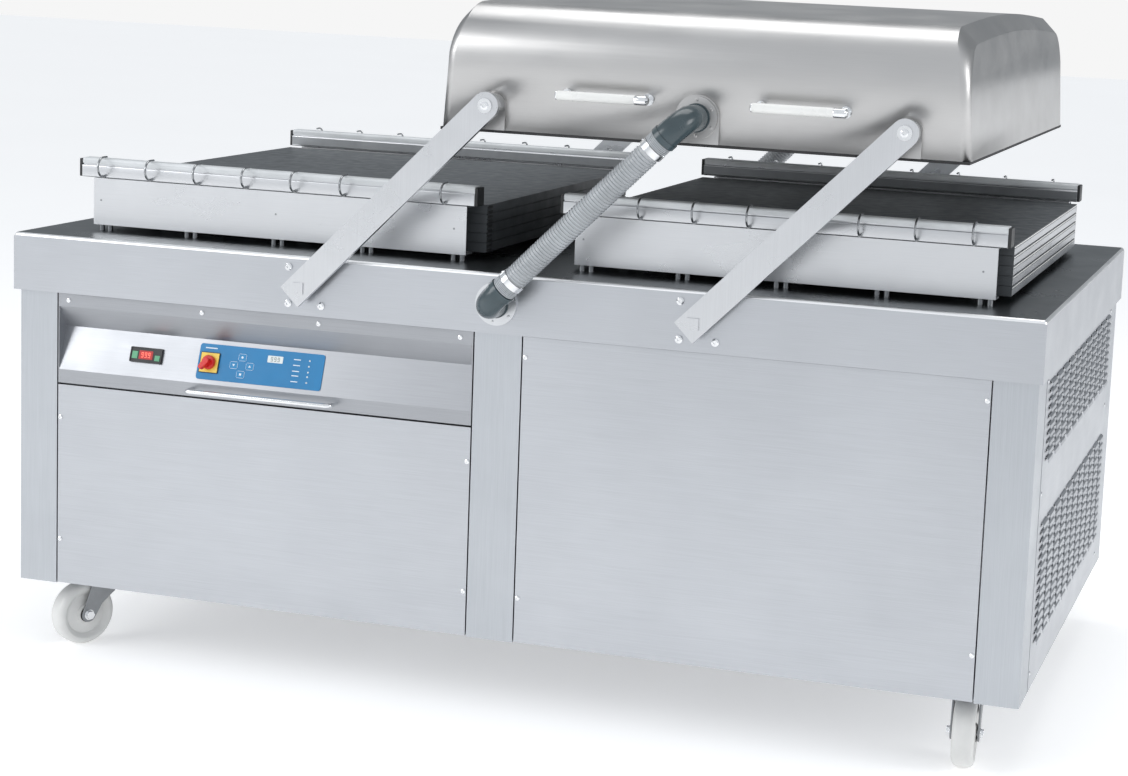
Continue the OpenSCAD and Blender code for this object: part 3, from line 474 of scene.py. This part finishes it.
def lid_skin():
    """Deep-drawn lid: rolled front and rear, leaning ends, chamfered end edges and rounded corners."""
    half_x = (LID_HIGH.x - LID_LOW.x) / 2
    half_y = LID_HIGH.y
    height = 258 * MM
    crown = LID_HIGH.z - LID_LOW.z - height
    roll = 105 * MM
    corner, chamfer = 22 * MM, 33 * MM
    lean = math.tan(math.radians(3.5))
    wall = 3.5 * MM

    half = [(half_y, 0.0, 0.0), (half_y, height - roll, 0.0)]
    for y, z in arc((half_y - roll, height - roll), roll, 0, 90, 14)[1:]:
        half.append((y, z, (z - height + roll) / roll))
    crown_steps = 8
    for i in range(1, crown_steps + 1):
        y = (half_y - roll) * (1 - i / crown_steps)
        half.append((y, height + crown * math.cos(math.pi / 2 * y / (half_y - roll)), 1.0))
    profile = half + [(-y, z, w) for y, z, w in reversed(half[:-1])]

    normals = []
    for i in range(len(profile)):
        a, b = profile[max(i - 1, 0)], profile[min(i + 1, len(profile) - 1)]
        along = Vector((b[0] - a[0], b[1] - a[1])).normalized()
        normals.append(Vector((along.y, -along.x)))
    normals[0] = Vector((1, 0))
    normals[-1] = Vector((-1, 0))

    shape = Shape()
    rings = []
    steps = 8
    for side in (-1, 1):
        order = range(steps, -1, -1) if side < 0 else range(steps + 1)
        for k in order:
            t = k / steps
            a = t * math.pi / 2
            ring = []
            for (y, z, top), n in zip(profile, normals):
                d = corner + (chamfer - corner) * top
                back = d * ((1 - top) * (1 - math.sin(a)) + top * (1 - t))
                inset = d * ((1 - top) * (1 - math.cos(a)) + top * t)
                x = half_x - lean * z - back
                ring.append(shape.bm.verts.new((LID_X + side * x, y - n.x * inset,
                                                LID_LOW.z + z - n.y * inset)))
            rings.append(ring)
    for a, b in zip(rings, rings[1:]):
        for i in range(len(a) - 1):
            shape.bm.faces.new((a[i], a[i + 1], b[i + 1], b[i]))
    for ring in (rings[0], rings[-1]):
        shape.bm.faces.new(ring)
    lid = shape.make("lid_skin", STEEL_LID, "lid", ["lid_shell"], "stainless", 2.0 * MM, 30)
    thick = lid.modifiers.new("sheet", "SOLIDIFY")
    thick.thickness = wall
    thick.offset = -1
    thick.use_even_offset = True
    return lid


def lid_handles():
    """Chrome bows with white sleeves on the lid's front and rear."""
    rise = 81 * MM
    reach = 38 * MM
    grip_half = 98 * MM
    leg_x = 86 * MM
    bows, grips = Shape(), Shape()
    for face in (-1, 1):
        for place_x in (-190 * MM, 216 * MM):
            x = LID_X + place_x
            z = LID_LOW.z + rise
            face_y = face * LID_HIGH.y
            out_y = face * (LID_HIGH.y + reach)
            for leg in (-leg_x, leg_x):
                bows.tube([(x + leg, face_y, z), (x + leg, out_y, z)], 7 * MM, 20)
                bows.tube([(x + leg, face_y, z), (x + leg, face_y + face * 3 * MM, z)], 12 * MM, 24)
            collar = grip_half - 28 * MM
            across = Matrix.Translation((x, out_y, z)) @ X.to_track_quat("Z", "Y").to_matrix().to_4x4()
            r = 10 * MM
            bows.turn([(0, collar), (r * 0.9, collar), (r * 0.98, collar + 2 * MM),
                       (r * 0.98, grip_half - 4 * MM), (r * 0.6, grip_half), (0, grip_half)], across, 32)
            bows.turn([(0, -grip_half), (r * 0.6, -grip_half), (r * 0.9, -grip_half + 2 * MM),
                       (r * 0.9, -grip_half + 5 * MM), (0, -grip_half + 5 * MM)], across, 32)
            grips.turn([(0, -grip_half + 4 * MM), (r * 0.9, -grip_half + 4 * MM), (r, -grip_half + 7 * MM),
                        (r, collar - 3 * MM), (r * 0.9, collar), (0, collar)], across, 32)
    bows.make("handle_bows", CHROME, "lid", slot="polished_steel")
    grips.make("handle_grips", WHITE_GRIP, "lid", ["lid_handles"], "handle_white")


lid_skin()
lid_handles()


# ---------- side panels ----------

VENT_FIELDS = ((632, 10), (254, 15))
VENT_COLUMNS = 11
VENT_PITCH_Y = 91 * MM
VENT_PITCH_Z = 17.3 * MM
VENT_LENGTH = 64 * MM
VENT_HEIGHT = 8 * MM


def louvred_panel(name, node, side):
    """Sheet with rows of lanced louvres, which open downward and at both ends."""
    lo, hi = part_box(node)
    face_x = side * max(abs(lo.x), abs(hi.x))
    slots_z = [z * MM + row * VENT_PITCH_Z for z, rows in sorted(VENT_FIELDS) for row in range(rows)]
    middle = (VENT_COLUMNS - 1) / 2
    slots_y = [(col - middle) * VENT_PITCH_Y - VENT_LENGTH / 2 for col in range(VENT_COLUMNS)]
    ys = sorted([lo.y, hi.y] + slots_y + [y + VENT_LENGTH for y in slots_y])
    zs = sorted([lo.z, hi.z] + slots_z + [z + VENT_HEIGHT for z in slots_z])
    shape = Shape()
    grid = [[shape.bm.verts.new((face_x, y, z)) for z in zs] for y in ys]
    hood = [(3.2 * MM, -1.6 * MM), (6.2 * MM, -5.5 * MM), (7.6 * MM, -11.5 * MM)]
    for i in range(len(ys) - 1):
        for j in range(len(zs) - 1):
            if i % 2 and j % 2:
                a, b = grid[i][j + 1], grid[i + 1][j + 1]
                for out, down in hood:
                    x = face_x + side * out
                    c = shape.bm.verts.new((x, ys[i], zs[j + 1] + down))
                    d = shape.bm.verts.new((x, ys[i + 1], zs[j + 1] + down))
                    shape.bm.faces.new((a, b, d, c))
                    a, b = c, d
            else:
                shape.bm.faces.new((grid[i][j], grid[i + 1][j], grid[i + 1][j + 1], grid[i][j + 1]))
    panel = shape.make(name, STEEL_Y, "cabinet", [node], "stainless")
    for face in panel.data.polygons:
        face.use_smooth = False
    thick = panel.modifiers.new("sheet", "SOLIDIFY")
    thick.thickness = 1.2 * MM
    thick.offset = 0
    return panel


louvred_panel("louvred_panel_left", "left_side_panel", -1)
louvred_panel("louvred_panel_right", "right_side_panel", 1)


# ---------- seal bars ----------

BAR_FACE = 530 * MM
BAR_DEPTH = 40 * MM
BAR_BOTTOM = 1058 * MM
BAR_TOP = 1088 * MM
STRIP_TOP = 1100 * MM
ROD_X, ROD_Y = 330 * MM, 507 * MM
ROD_BOTTOM = 996 * MM
ROD_RADIUS = 6 * MM
HOOKS = 8
HOOK_PITCH = 115.7 * MM


def bar_frame(side):
    """Local X goes in from the bar's outer face, local Y goes up and local Z lies along the bar."""
    inward, up = Vector((0, -side, 0)), Z
    turn = Matrix((inward, up, inward.cross(up))).transposed().to_4x4()
    return Matrix.Translation((0, side * BAR_FACE, 0)) @ turn


def seal_bar(node, station, side):
    lo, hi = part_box(node)
    body = "seal_" + node
    place = bar_frame(side)
    ends = sorted((-side * lo.x, -side * hi.x))
    cap = 7 * MM
    a, b = ends[0] + cap, ends[1] - cap
    r = 2.5 * MM
    depth = BAR_DEPTH - 1.5 * MM
    box_outline = (arc((depth - r, BAR_TOP - 3 * MM - r), r, 0, 90, 4)
                   + arc((r, BAR_TOP - 3 * MM - r), r, 90, 180, 4)
                   + arc((r, BAR_BOTTOM + r), r, 180, 270, 4)
                   + arc((depth - r, BAR_BOTTOM + r), r, 270, 360, 4))
    body_shape = Shape()
    body_shape.prism(box_outline, a, b, place)
    body_shape.box((4 * MM, BAR_TOP - 4 * MM, a), (depth - 4 * MM, BAR_TOP, b), place)
    backing = Shape()
    backing.box((depth, BAR_BOTTOM + 4 * MM, a), (BAR_DEPTH, BAR_TOP - 6 * MM, b), place)
    backing.make(node + "_backing", DARK_STEEL, body, slot="caster_steel", bevel=0.4 * MM)
    for x in (station - ROD_X, station + ROD_X):
        body_shape.tube([(x, side * ROD_Y, ROD_BOTTOM), (x, side * ROD_Y, BAR_BOTTOM)], ROD_RADIUS, 24)
    body_shape.make(node + "_profile", ALUMINIUM, body, [node], "bar_aluminium")

    strip = Shape()
    q = 5.5 * MM
    outline = (arc((depth - 2 * MM - q, STRIP_TOP - q), q, 0, 90, 6)
               + arc((2 * MM + q, STRIP_TOP - q), q, 90, 180, 6)
               + [(2 * MM, BAR_TOP), (depth - 2 * MM, BAR_TOP)])
    strip.prism(outline, a, b, place)
    strip.make(node + "_strip", STRIP, body, slot="bar_aluminium", smooth=50)

    # Painted shade: black blocks at both ends of the bar stand in for the shade on its end faces
    shaded_end_blocks = Shape()
    for c, d in ((ends[0], a), (b, ends[1])):
        shaded_end_blocks.box((0.5 * MM, BAR_BOTTOM + 0.5 * MM, c), (depth - 0.5 * MM, STRIP_TOP - 2 * MM, d), place)
    shaded_end_blocks.make(node + "_end_painted_shade", BLACK_PLASTIC, body, slot="black_plastic", bevel=1.5 * MM)

    hooks = Shape()
    ring = 21 * MM
    centre_y = side * (BAR_FACE + 7 * MM)
    centre_z = BAR_BOTTOM + 25 * MM
    for k in range(HOOKS):
        x = station - 10 * MM + (k - (HOOKS - 1) / 2) * HOOK_PITCH
        path = [(x, centre_y - side * 16 * MM, centre_z + ring),
                (x, centre_y - side * 5 * MM, centre_z + ring)]
        for c, s in arc((0, 0), ring, 90, -90, 18):
            path.append((x, centre_y + side * c, centre_z + s))
        path.append((x, centre_y - side * 6.5 * MM, centre_z - ring))
        hooks.tube(path, 2.3 * MM, 10)
        hooks.tube([path[-2], path[-1]], 3.6 * MM, 12)
    hooks.make(node + "_hooks", HOOK_WIRE, body, slot="polished_steel")


STATION = 565 * MM
for far_or_near, side in (("front", -1), ("rear", 1)):
    seal_bar(f"bar_{far_or_near}_left", -STATION, side)
    seal_bar(f"bar_{far_or_near}_right", STATION, side)


# ---------- insert plates ----------

PLATES = 5
PLATE_PITCH = 20.5 * MM
PLATES_FLOOR = 953.5 * MM
PLATE_HALF = 465 * MM


def insert_plate_trim():
    """Metal edge bands with thin white lines of painted highlight on the right stack's open side, and black
    ribs of painted shade at the front of the left one's.
    """
    face = STATION + PLATE_HALF
    bands, highlight_lines, shade_ribs = Shape(), Shape(), Shape()
    for i in range(PLATES):
        z = PLATES_FLOOR + i * PLATE_PITCH
        bands.box((face - 1.0 * MM, -PLATE_HALF, z + 2.5 * MM), (face + 0.6 * MM, PLATE_HALF, z + 15 * MM))
        # Painted highlight: a thin white line near the top of each plate's edge band
        highlight_lines.box((face - 1.0 * MM, -PLATE_HALF, z + 16.5 * MM),
                 (face + 0.4 * MM, PLATE_HALF, z + 18.5 * MM))
    bands.make("insert_plate_bands", ALUMINIUM, "cabinet", slot="stainless", bevel=0.3 * MM)
    highlight_lines.make("insert_plate_painted_highlights", WHITE_GRIP, "cabinet", slot="handle_white")
    # Painted shade: black ribs stand in for the shade on the left stack's open side
    face = PLATE_HALF - STATION
    for i in range(10):
        z = PLATES_FLOOR + (i + 0.5) * PLATE_PITCH / 2
        shade_ribs.box((face - 1.0 * MM, -PLATE_HALF, z - 2.6 * MM),
                 (face + 2.4 * MM, -PLATE_HALF + 26 * MM, z + 2.6 * MM))
    shade_ribs.make("insert_plate_painted_shade_ribs", BLACK_PLASTIC, "cabinet", slot="black_plastic", bevel=0.9 * MM)


insert_plate_trim()


# ---------- carrier screws ----------

CARRIER_FACE = 527 * MM
CARRIER_SCREW_Z = 1008 * MM
CARRIER_SCREWS_X = (-425 * MM, 0, 415 * MM)


def carrier_screws():
    """Three small dark heads in each bar carrier's outer face."""
    heads = Shape()
    for station in (-STATION, STATION):
        for side, out in ((-1, FRONT), (1, REAR)):
            for x in CARRIER_SCREWS_X:
                face = facing(Vector((station + x, side * CARRIER_FACE, CARRIER_SCREW_Z)), out)
                heads.turn([(0, -0.5 * MM), (2.4 * MM, -0.5 * MM), (2.0 * MM, 0.6 * MM), (0, 0.9 * MM)],
                           face, 16)
    heads.make("carrier_screws", DARK_STEEL, "cabinet", slot="caster_steel")


carrier_screws()


# ---------- vacuum hoses ----------

HOSE_OUT = 725 * MM
ELBOW_R = 45 * MM
ELBOW_END = 59 * MM
PORT_FACE = HALF_Y + 6.4 * MM
LID_PORT_FACE = LID_HIGH.y + 9.4 * MM


def elbow_path(root, direction, face, side):
    """Straight out of a port, round a quarter turn and a short way along the hose."""
    straight = HOSE_OUT - ELBOW_R
    points = [root + Y * side * face, root + Y * side * straight]
    for c, s in arc((0, 0), ELBOW_R, 0, 90, 14)[1:]:
        points.append(root + Y * side * (straight + s) + direction * (ELBOW_R - c))
    points.append(root + Y * side * HOSE_OUT + direction * ELBOW_END)
    return points


def vacuum_hose(end, side):
    body = end + "_hose_link"
    low_root = Vector((0, 0, SHAFT_Z))
    high_root = Vector((LID_X, 0, UPPER_PIVOT_Z))
    centre = low_root + Y * side * HOSE_OUT
    d = ARM_DIRECTION

    elbows = Shape()
    for root, direction, face in ((low_root, d, PORT_FACE), (high_root, -d, LID_PORT_FACE)):
        path = elbow_path(root, direction, face, side)
        elbows.tube(path, 27 * MM, 40, inner=20 * MM)
        elbows.tube([path[0], path[0] + Y * side * 5 * MM], 29 * MM, 40, inner=26 * MM)
        tip = path[-1]
        elbows.tube([tip - direction * 12 * MM, tip], 29 * MM, 40, inner=26 * MM)
    elbows.make(f"{end}_elbow_skins", ELBOW, body, [f"{end}_hose_elbows"], "elbow_slate", smooth=50)

    start, stop = ELBOW_END, ARM_LENGTH - ELBOW_END
    wall = Shape()
    wall.tube([centre + d * t for t in (start, stop)], 23.5 * MM, 48, inner=20.5 * MM)
    wall.make(f"{end}_hose_wall", HOSE, body, slot="smoky_hose", smooth=60)

    spiral = Shape()
    pitch = 6.9 * MM
    cuff = 36 * MM
    turns = int((stop - start - 2 * cuff) / pitch)
    per_turn = 20
    across = d.cross(Y)
    path = []
    for i in range(turns * per_turn + 1):
        a = 2 * math.pi * i / per_turn
        along = start + cuff + pitch * i / per_turn
        path.append(centre + d * along + 24.2 * MM * (math.cos(a) * Y + math.sin(a) * across))
    spiral.tube(path, 1.5 * MM, 6)
    for first, sign in ((start, 1), (stop, -1)):
        for k in range(5):
            t = first + sign * (3 + 3.4 * k) * MM
            spiral.tube([centre + d * (t - 1.1 * MM), centre + d * (t + 1.1 * MM)],
                        26.5 * MM, 40, inner=23 * MM)
    spiral.make(f"{end}_hose_spiral", HOSE_RIB, body, [f"{end}_hose"], "smoky_hose", smooth=60)

    clamps = Shape()
    for t in (start + 27 * MM, stop - 27 * MM):
        clamps.tube([centre + d * (t - 7 * MM), centre + d * (t + 7 * MM)], 27.2 * MM, 48, inner=26.2 * MM)
        screw = centre + d * t + across * 26 * MM
        clamps.tube([screw - Y * 8 * MM, screw + Y * 8 * MM], 2.0 * MM, 12)
    clamps.make(f"{end}_hose_clamps", POLISHED, body, slot="polished_steel")


vacuum_hose("front", -1)
vacuum_hose("rear", 1)


# ---------- casters ----------

def caster(corner):
    joints = {j["name"]: j for j in frame["joints"]}
    swivel = joints[f"swivel_{corner}_turn"]["pos_m"]
    axle = Vector(joints[f"wheel_{corner}_spin"]["axis"])
    centre = Vector(joints[f"wheel_{corner}_spin"]["pos_m"])
    back = Z.cross(axle)
    turn = Matrix((axle, back, Z)).transposed().to_4x4()
    upright = Matrix.Translation((swivel[0], swivel[1], 0)) @ turn
    hub = Matrix.Translation(centre) @ Matrix((back, Z, axle)).transposed().to_4x4()
    trail = (Vector((swivel[0], swivel[1], centre.z)) - centre).length
    plate = 153.5 * MM
    leg_x, leg_t = 26 * MM, 4 * MM

    fork = Shape()
    fork.turn([(0, plate), (34 * MM, plate), (36 * MM, plate - 2 * MM), (36 * MM, plate - 6 * MM),
               (31 * MM, plate - 10 * MM), (0, plate - 10 * MM)], upright)
    crown = plate - 8 * MM
    fork.box((-leg_x - leg_t, -34 * MM, crown - 4 * MM), (leg_x + leg_t, 32 * MM, crown), upright)
    outline = [(30 * MM, crown - centre.z), (-34 * MM, crown - centre.z)]
    outline += [(x - trail, y) for x, y in arc((0, 0), 17 * MM, 165, 330, 14)]
    outline += [(-trail + 34 * MM, 22 * MM), (22 * MM, 46 * MM)]
    leg = (Matrix.Translation((swivel[0], swivel[1], centre.z))
           @ Matrix((back, Z, axle)).transposed().to_4x4())
    for a, b in ((leg_x, leg_x + leg_t), (-leg_x - leg_t, -leg_x)):
        fork.prism(outline, a, b, leg)
    fork.make(f"caster_{corner}_fork", DARK_STEEL, f"swivel_{corner}", [f"caster_fork_{corner}"],
              "caster_steel", 1.0 * MM)

    bolt = Shape()
    out = leg_x + leg_t
    hexagon = [(10 * MM * math.cos(a), 10 * MM * math.sin(a)) for a in circle_angles(6)]
    for sign in (-1, 1):
        bolt.prism(hexagon, sign * (out + 1.5 * MM), sign * (out + 8 * MM), hub)
        bolt.turn([(0, sign * out), (12 * MM, sign * out), (12 * MM, sign * (out + 1.5 * MM)),
                   (0, sign * (out + 1.5 * MM))], hub, 32)
    bolt.turn([(0, -out), (7 * MM, -out), (7 * MM, out), (0, out)], hub, 32)
    bolt.make(f"caster_{corner}_axle", POLISHED, f"swivel_{corner}", slot="polished_steel", bevel=0.5 * MM)

    wheel = Shape()
    r, half_w = centre.z, 23 * MM
    half = [(7.4 * MM, half_w), (20 * MM, half_w), (23 * MM, half_w - 7 * MM), (45 * MM, half_w - 9 * MM),
            (50 * MM, half_w - 3 * MM), (56 * MM, half_w)]
    half += [(x, y) for x, y in arc((r - 13 * MM, half_w - 13 * MM), 13 * MM, 80, 0, 8)]
    profile = half + [(x, -y) for x, y in reversed(half)]
    wheel.turn(profile, hub, 64)
    wheel.make(f"caster_{corner}_wheel", WHEEL, f"wheel_{corner}", [f"caster_wheel_{corner}"],
               "wheel_nylon", smooth=28)

    seal = Shape()
    for sign in (-1, 1):
        seal.turn([(12 * MM, sign * half_w), (18 * MM, sign * half_w), (18 * MM, sign * (half_w + 1.2 * MM)),
                   (12 * MM, sign * (half_w + 1.2 * MM))], hub, 40)
    seal.make(f"caster_{corner}_dust_ring", RUBBER, f"wheel_{corner}", slot="black_plastic")


for corner in CASTERS:
    caster(corner)


# ---------- control face ----------

# Places on the face are in millimetres across it, up it and out of it
FACE = facing(mm(0, -619.5, 689), Vector((0, -0.9477, 0.3193)))
FILM = 1.5
PRINTED = 0.2 * MM
KEYS = ((-592, 16), (-610, -2), (-572, -2), (-591, -21))
LAMP_ROWS = (23, 10.6, -2, -12, -24.5)


def on_face(x, s, out=0.0):
    return FACE @ Matrix.Translation(mm(x, s, out))


def in_mm(outline):
    return [(x * MM, y * MM) for x, y in outline]


def outline_frame(shape, w, h, r, line, place, t0, t1):
    """A thin rounded frame printed or laid on a face."""
    outer = in_mm(rounded_rectangle(w, h, r))
    inner = in_mm(rounded_rectangle(w - 2 * line, h - 2 * line, max(r - line, 0.2)))
    n = len(outer)
    loops = [[shape.bm.verts.new(place @ Vector((x, y, t))) for x, y in o]
             for o, t in ((outer, t0), (outer, t1), (inner, t1), (inner, t0))]
    for a, b in zip(loops, loops[1:] + loops[:1]):
        for i in range(n):
            j = (i + 1) % n
            shape.bm.faces.new((a[i], a[j], b[j], b[i]))


def digits(shape, text_width, height, count, place, depth):
    """Seven-segment figures, each showing a plain eight without its lower-left bar."""
    pitch = text_width / count
    w, h, t = pitch * 0.62, height, pitch * 0.13
    bars = [((-w / 2, h / 2 - t), (w / 2, h / 2)), ((-w / 2, -t / 2), (w / 2, t / 2)),
            ((-w / 2, -h / 2), (w / 2, -h / 2 + t)), ((-w / 2, t), (-w / 2 + t, h / 2 - t * 1.4)),
            ((w / 2 - t, t), (w / 2, h / 2 - t * 1.4)), ((w / 2 - t, -h / 2 + t * 1.4), (w / 2, -t))]
    for k in range(count):
        x = (k - (count - 1) / 2) * pitch
        for (x0, y0), (x1, y1) in bars:
            shape.box(mm(x + x0, y0, 0), mm(x + x1, y1, depth), place)


def control_face_details():
    film = Shape()
    for x, s in KEYS:
        outline_frame(film, 18.6, 15.6, 3.0, 0.7, on_face(x, s, FILM), 0, 0.25 * MM)
    arrow = [(-3.2, -2.2), (3.2, -2.2), (0, 3.0)]
    film.prism(in_mm([(-x, -y) for x, y in arrow]), 0, PRINTED, on_face(-610, -2, 2.2))
    film.prism(in_mm(arrow), 0, PRINTED, on_face(-572, -2, 2.2))
    film.prism(in_mm(arc((0, 0), 2.6, 0, 360, 20)[:-1]), 0, PRINTED, on_face(-592, 16, 2.2))
    film.prism(in_mm([(-2.4, -2.4), (2.4, -2.4), (2.4, 2.4), (-2.4, 2.4)]), 0, PRINTED,
               on_face(-591, -21, 2.2))
    for s in LAMP_ROWS:
        film.box(mm(-10, -1.0, 0), mm(6, 1.0, 0.2), on_face(-462, s, FILM))
    film.box(mm(-14, -1.3, 0), mm(14, 1.3, 0.2), on_face(-668, 30, FILM))
    film.make("keypad_print", PRINT, "cabinet", slot="handle_white")

    lamps = Shape()
    for s in LAMP_ROWS:
        dome = [(0, 0), (2.0 * MM, 0), (1.7 * MM, 0.8 * MM), (1.0 * MM, 1.3 * MM), (0, 1.5 * MM)]
        lamps.turn(dome, on_face(-435, s, FILM), 20)
    lamps.make("keypad_lamps", PALE_WINDOW, "cabinet", slot="handle_white")

    window = Shape()
    window.prism(in_mm(rounded_rectangle(36, 15, 1.5)), 0, 0.6 * MM, on_face(-515, 18.7, FILM))
    window.make("keypad_window", PALE_WINDOW, "cabinet", slot="handle_white", bevel=0.2 * MM)
    figures = Shape()
    digits(figures, 24, 9, 3, on_face(-515, 18.7, FILM + 0.6), 0.15)
    figures.make("keypad_figures", DIGIT_DARK, "cabinet", slot="black_plastic")

    glass = Shape()
    glass.prism(in_mm(rounded_rectangle(33, 19, 1.5)), 0, 0.6 * MM, on_face(-820, 0, 4.0))
    glass.make("controller_window", RED_WINDOW, "cabinet", slot="red_knob", bevel=0.2 * MM)
    red = Shape()
    digits(red, 24, 11, 3, on_face(-820, 0, 4.6), 0.15)
    red.make("controller_figures", RED_DIGIT, "cabinet", slot="red_knob")
    rim = Shape()
    outline_frame(rim, 76, 33, 2.0, 2.2, on_face(-820, 0, 4.0), 0, 1.2 * MM)
    rim.make("controller_rim", BLACK_PLASTIC, "cabinet", slot="black_plastic")

    border = Shape()
    outline_frame(border, 45, 45, 2.0, 2.6, on_face(-667, -2, FILM), 0, 2.4 * MM)
    border.make("switch_border", BLACK_PLASTIC, "cabinet", slot="black_plastic")


def switch_knob():
    """Round base with a tapered grip across it, pointing down to the left."""
    base = on_face(-667, -2)
    floor = 4.9
    knob = Shape()
    knob.turn([(r * MM, h * MM) for r, h in ((0, -22), (5, -22), (5, floor), (15, floor), (15.5, floor + 1),
              (15, floor + 7), (13.5, floor + 8.5), (0, floor + 8.5))], base, 48)
    turn = base @ Matrix.Rotation(math.radians(52), 4, "Z")
    grip = in_mm(arc((2, 0), 6.5, -90, 90, 8) + [(-16, 5), (-20.5, 3.4), (-20.5, -3.4), (-16, -5)])
    knob.prism(grip, (floor + 8) * MM, (floor + 20) * MM, turn)
    knob.make("switch_knob_skin", RED, "switch", ["switch_knob"], "red_knob", 1.2 * MM, segments=3)


control_face_details()
switch_knob()


# ---------- studio ----------

def aim(pos, yaw, pitch, roll):
    """Camera place from its position and the angles of its view, in degrees."""
    yaw, pitch, roll = (math.radians(a) for a in (yaw, pitch, roll))
    forward = Vector((-math.sin(yaw) * math.cos(pitch), math.cos(yaw) * math.cos(pitch), -math.sin(pitch)))
    right = Vector((math.cos(yaw), math.sin(yaw), 0))
    up = right.cross(forward)
    r2 = math.cos(roll) * right + math.sin(roll) * up
    u2 = -math.sin(roll) * right + math.cos(roll) * up
    turn = Matrix((r2, u2, -forward)).transposed()
    return Matrix.Translation(pos) @ turn.to_4x4()


FRAME_WIDTH = 1128
FOCAL_PX = 2326
SENSOR = 36
CAMERA_AT = mm(1730, -5064, 1611)
YAW, PITCH, ROLL = 15.83, 8.17, 2.59

camera = bpy.data.objects.new("camera", bpy.data.cameras.new("camera"))
bpy.context.scene.collection.objects.link(camera)
camera.matrix_world = aim(CAMERA_AT, YAW, PITCH, ROLL)
camera.data.sensor_width = SENSOR
camera.data.lens = SENSOR * FOCAL_PX / FRAME_WIDTH
camera.data.shift_x = -0.14
camera.data.shift_y = -0.09
camera.data.clip_end = 200
bpy.context.scene.camera = camera


def floor_and_lights():
    shape = Shape()
    reach = 30.0
    shape.prism([(-reach, -reach), (reach, -reach), (reach, reach), (-reach, reach)], -0.02, 0)
    made = Nodes("floor_pale", (0.93, 0.93, 0.93), 0.9)
    made.shader.inputs["Emission Color"].default_value = (1, 1, 1, 1)
    made.shader.inputs["Emission Strength"].default_value = 0.34
    made.vary_color(made.ramp(made.noise(0.7), 0, 1), 0.01)
    bmesh.ops.recalc_face_normals(shape.bm, faces=shape.bm.faces)
    mesh = bpy.data.meshes.new("floor")
    shape.bm.to_mesh(mesh)
    mesh.materials.append(made.material)
    floor = bpy.data.objects.new("floor", mesh)
    bpy.context.scene.collection.objects.link(floor)

    def softbox(name, pos, target, size, power, color=(1, 1, 1)):
        light = bpy.data.lights.new(name, "AREA")
        light.shape = "RECTANGLE"
        light.size, light.size_y = size
        light.energy = power
        light.color = color
        lamp = bpy.data.objects.new(name, light)
        bpy.context.scene.collection.objects.link(lamp)
        lamp.location = pos
        lamp.rotation_mode = "QUATERNION"
        lamp.rotation_quaternion = (Vector(target) - Vector(pos)).to_track_quat("-Z", "Y")

    softbox("key", (-5.0, -4.5, 3.4), (0, 0, 0.8), (3.5, 3.0), 130)
    softbox("right_fill", (6.0, -0.5, 2.6), (0.8, 0, 0.8), (2.5, 2.5), 95)
    softbox("top", (0.2, 0.5, 4.5), (0.2, 0, 1), (3.5, 2.0), 60)

    world = bpy.data.worlds.new("studio")
    bpy.context.scene.world = world
    world.use_nodes = True
    tree = world.node_tree
    background = tree.nodes["Background"]
    where = tree.nodes.new("ShaderNodeTexCoord")
    split = tree.nodes.new("ShaderNodeSeparateXYZ")
    tree.links.new(where.outputs["Generated"], split.inputs[0])
    ramp = tree.nodes.new("ShaderNodeValToRGB")
    ramp.color_ramp.elements[0].position = 0.30
    ramp.color_ramp.elements[0].color = (0.86, 0.89, 0.93, 1)
    ramp.color_ramp.elements[1].position = 0.80
    ramp.color_ramp.elements[1].color = (0.30, 0.32, 0.34, 1)
    half = tree.nodes.new("ShaderNodeMath")
    half.operation = "MULTIPLY_ADD"
    half.inputs[1].default_value = 0.5
    half.inputs[2].default_value = 0.5
    tree.links.new(split.outputs["Y"], half.inputs[0])
    tree.links.new(half.outputs[0], ramp.inputs[0])
    path = tree.nodes.new("ShaderNodeLightPath")
    mix = tree.nodes.new("ShaderNodeMix")
    mix.data_type = "RGBA"
    tree.links.new(path.outputs["Is Camera Ray"], mix.inputs[0])
    tree.links.new(ramp.outputs[0], mix.inputs[6])
    mix.inputs[7].default_value = (0.97, 0.97, 0.97, 1)
    tree.links.new(mix.outputs[2], background.inputs["Color"])
    background.inputs["Strength"].default_value = 0.95


floor_and_lights()
bpy.context.scene.view_settings.view_transform = "Standard"
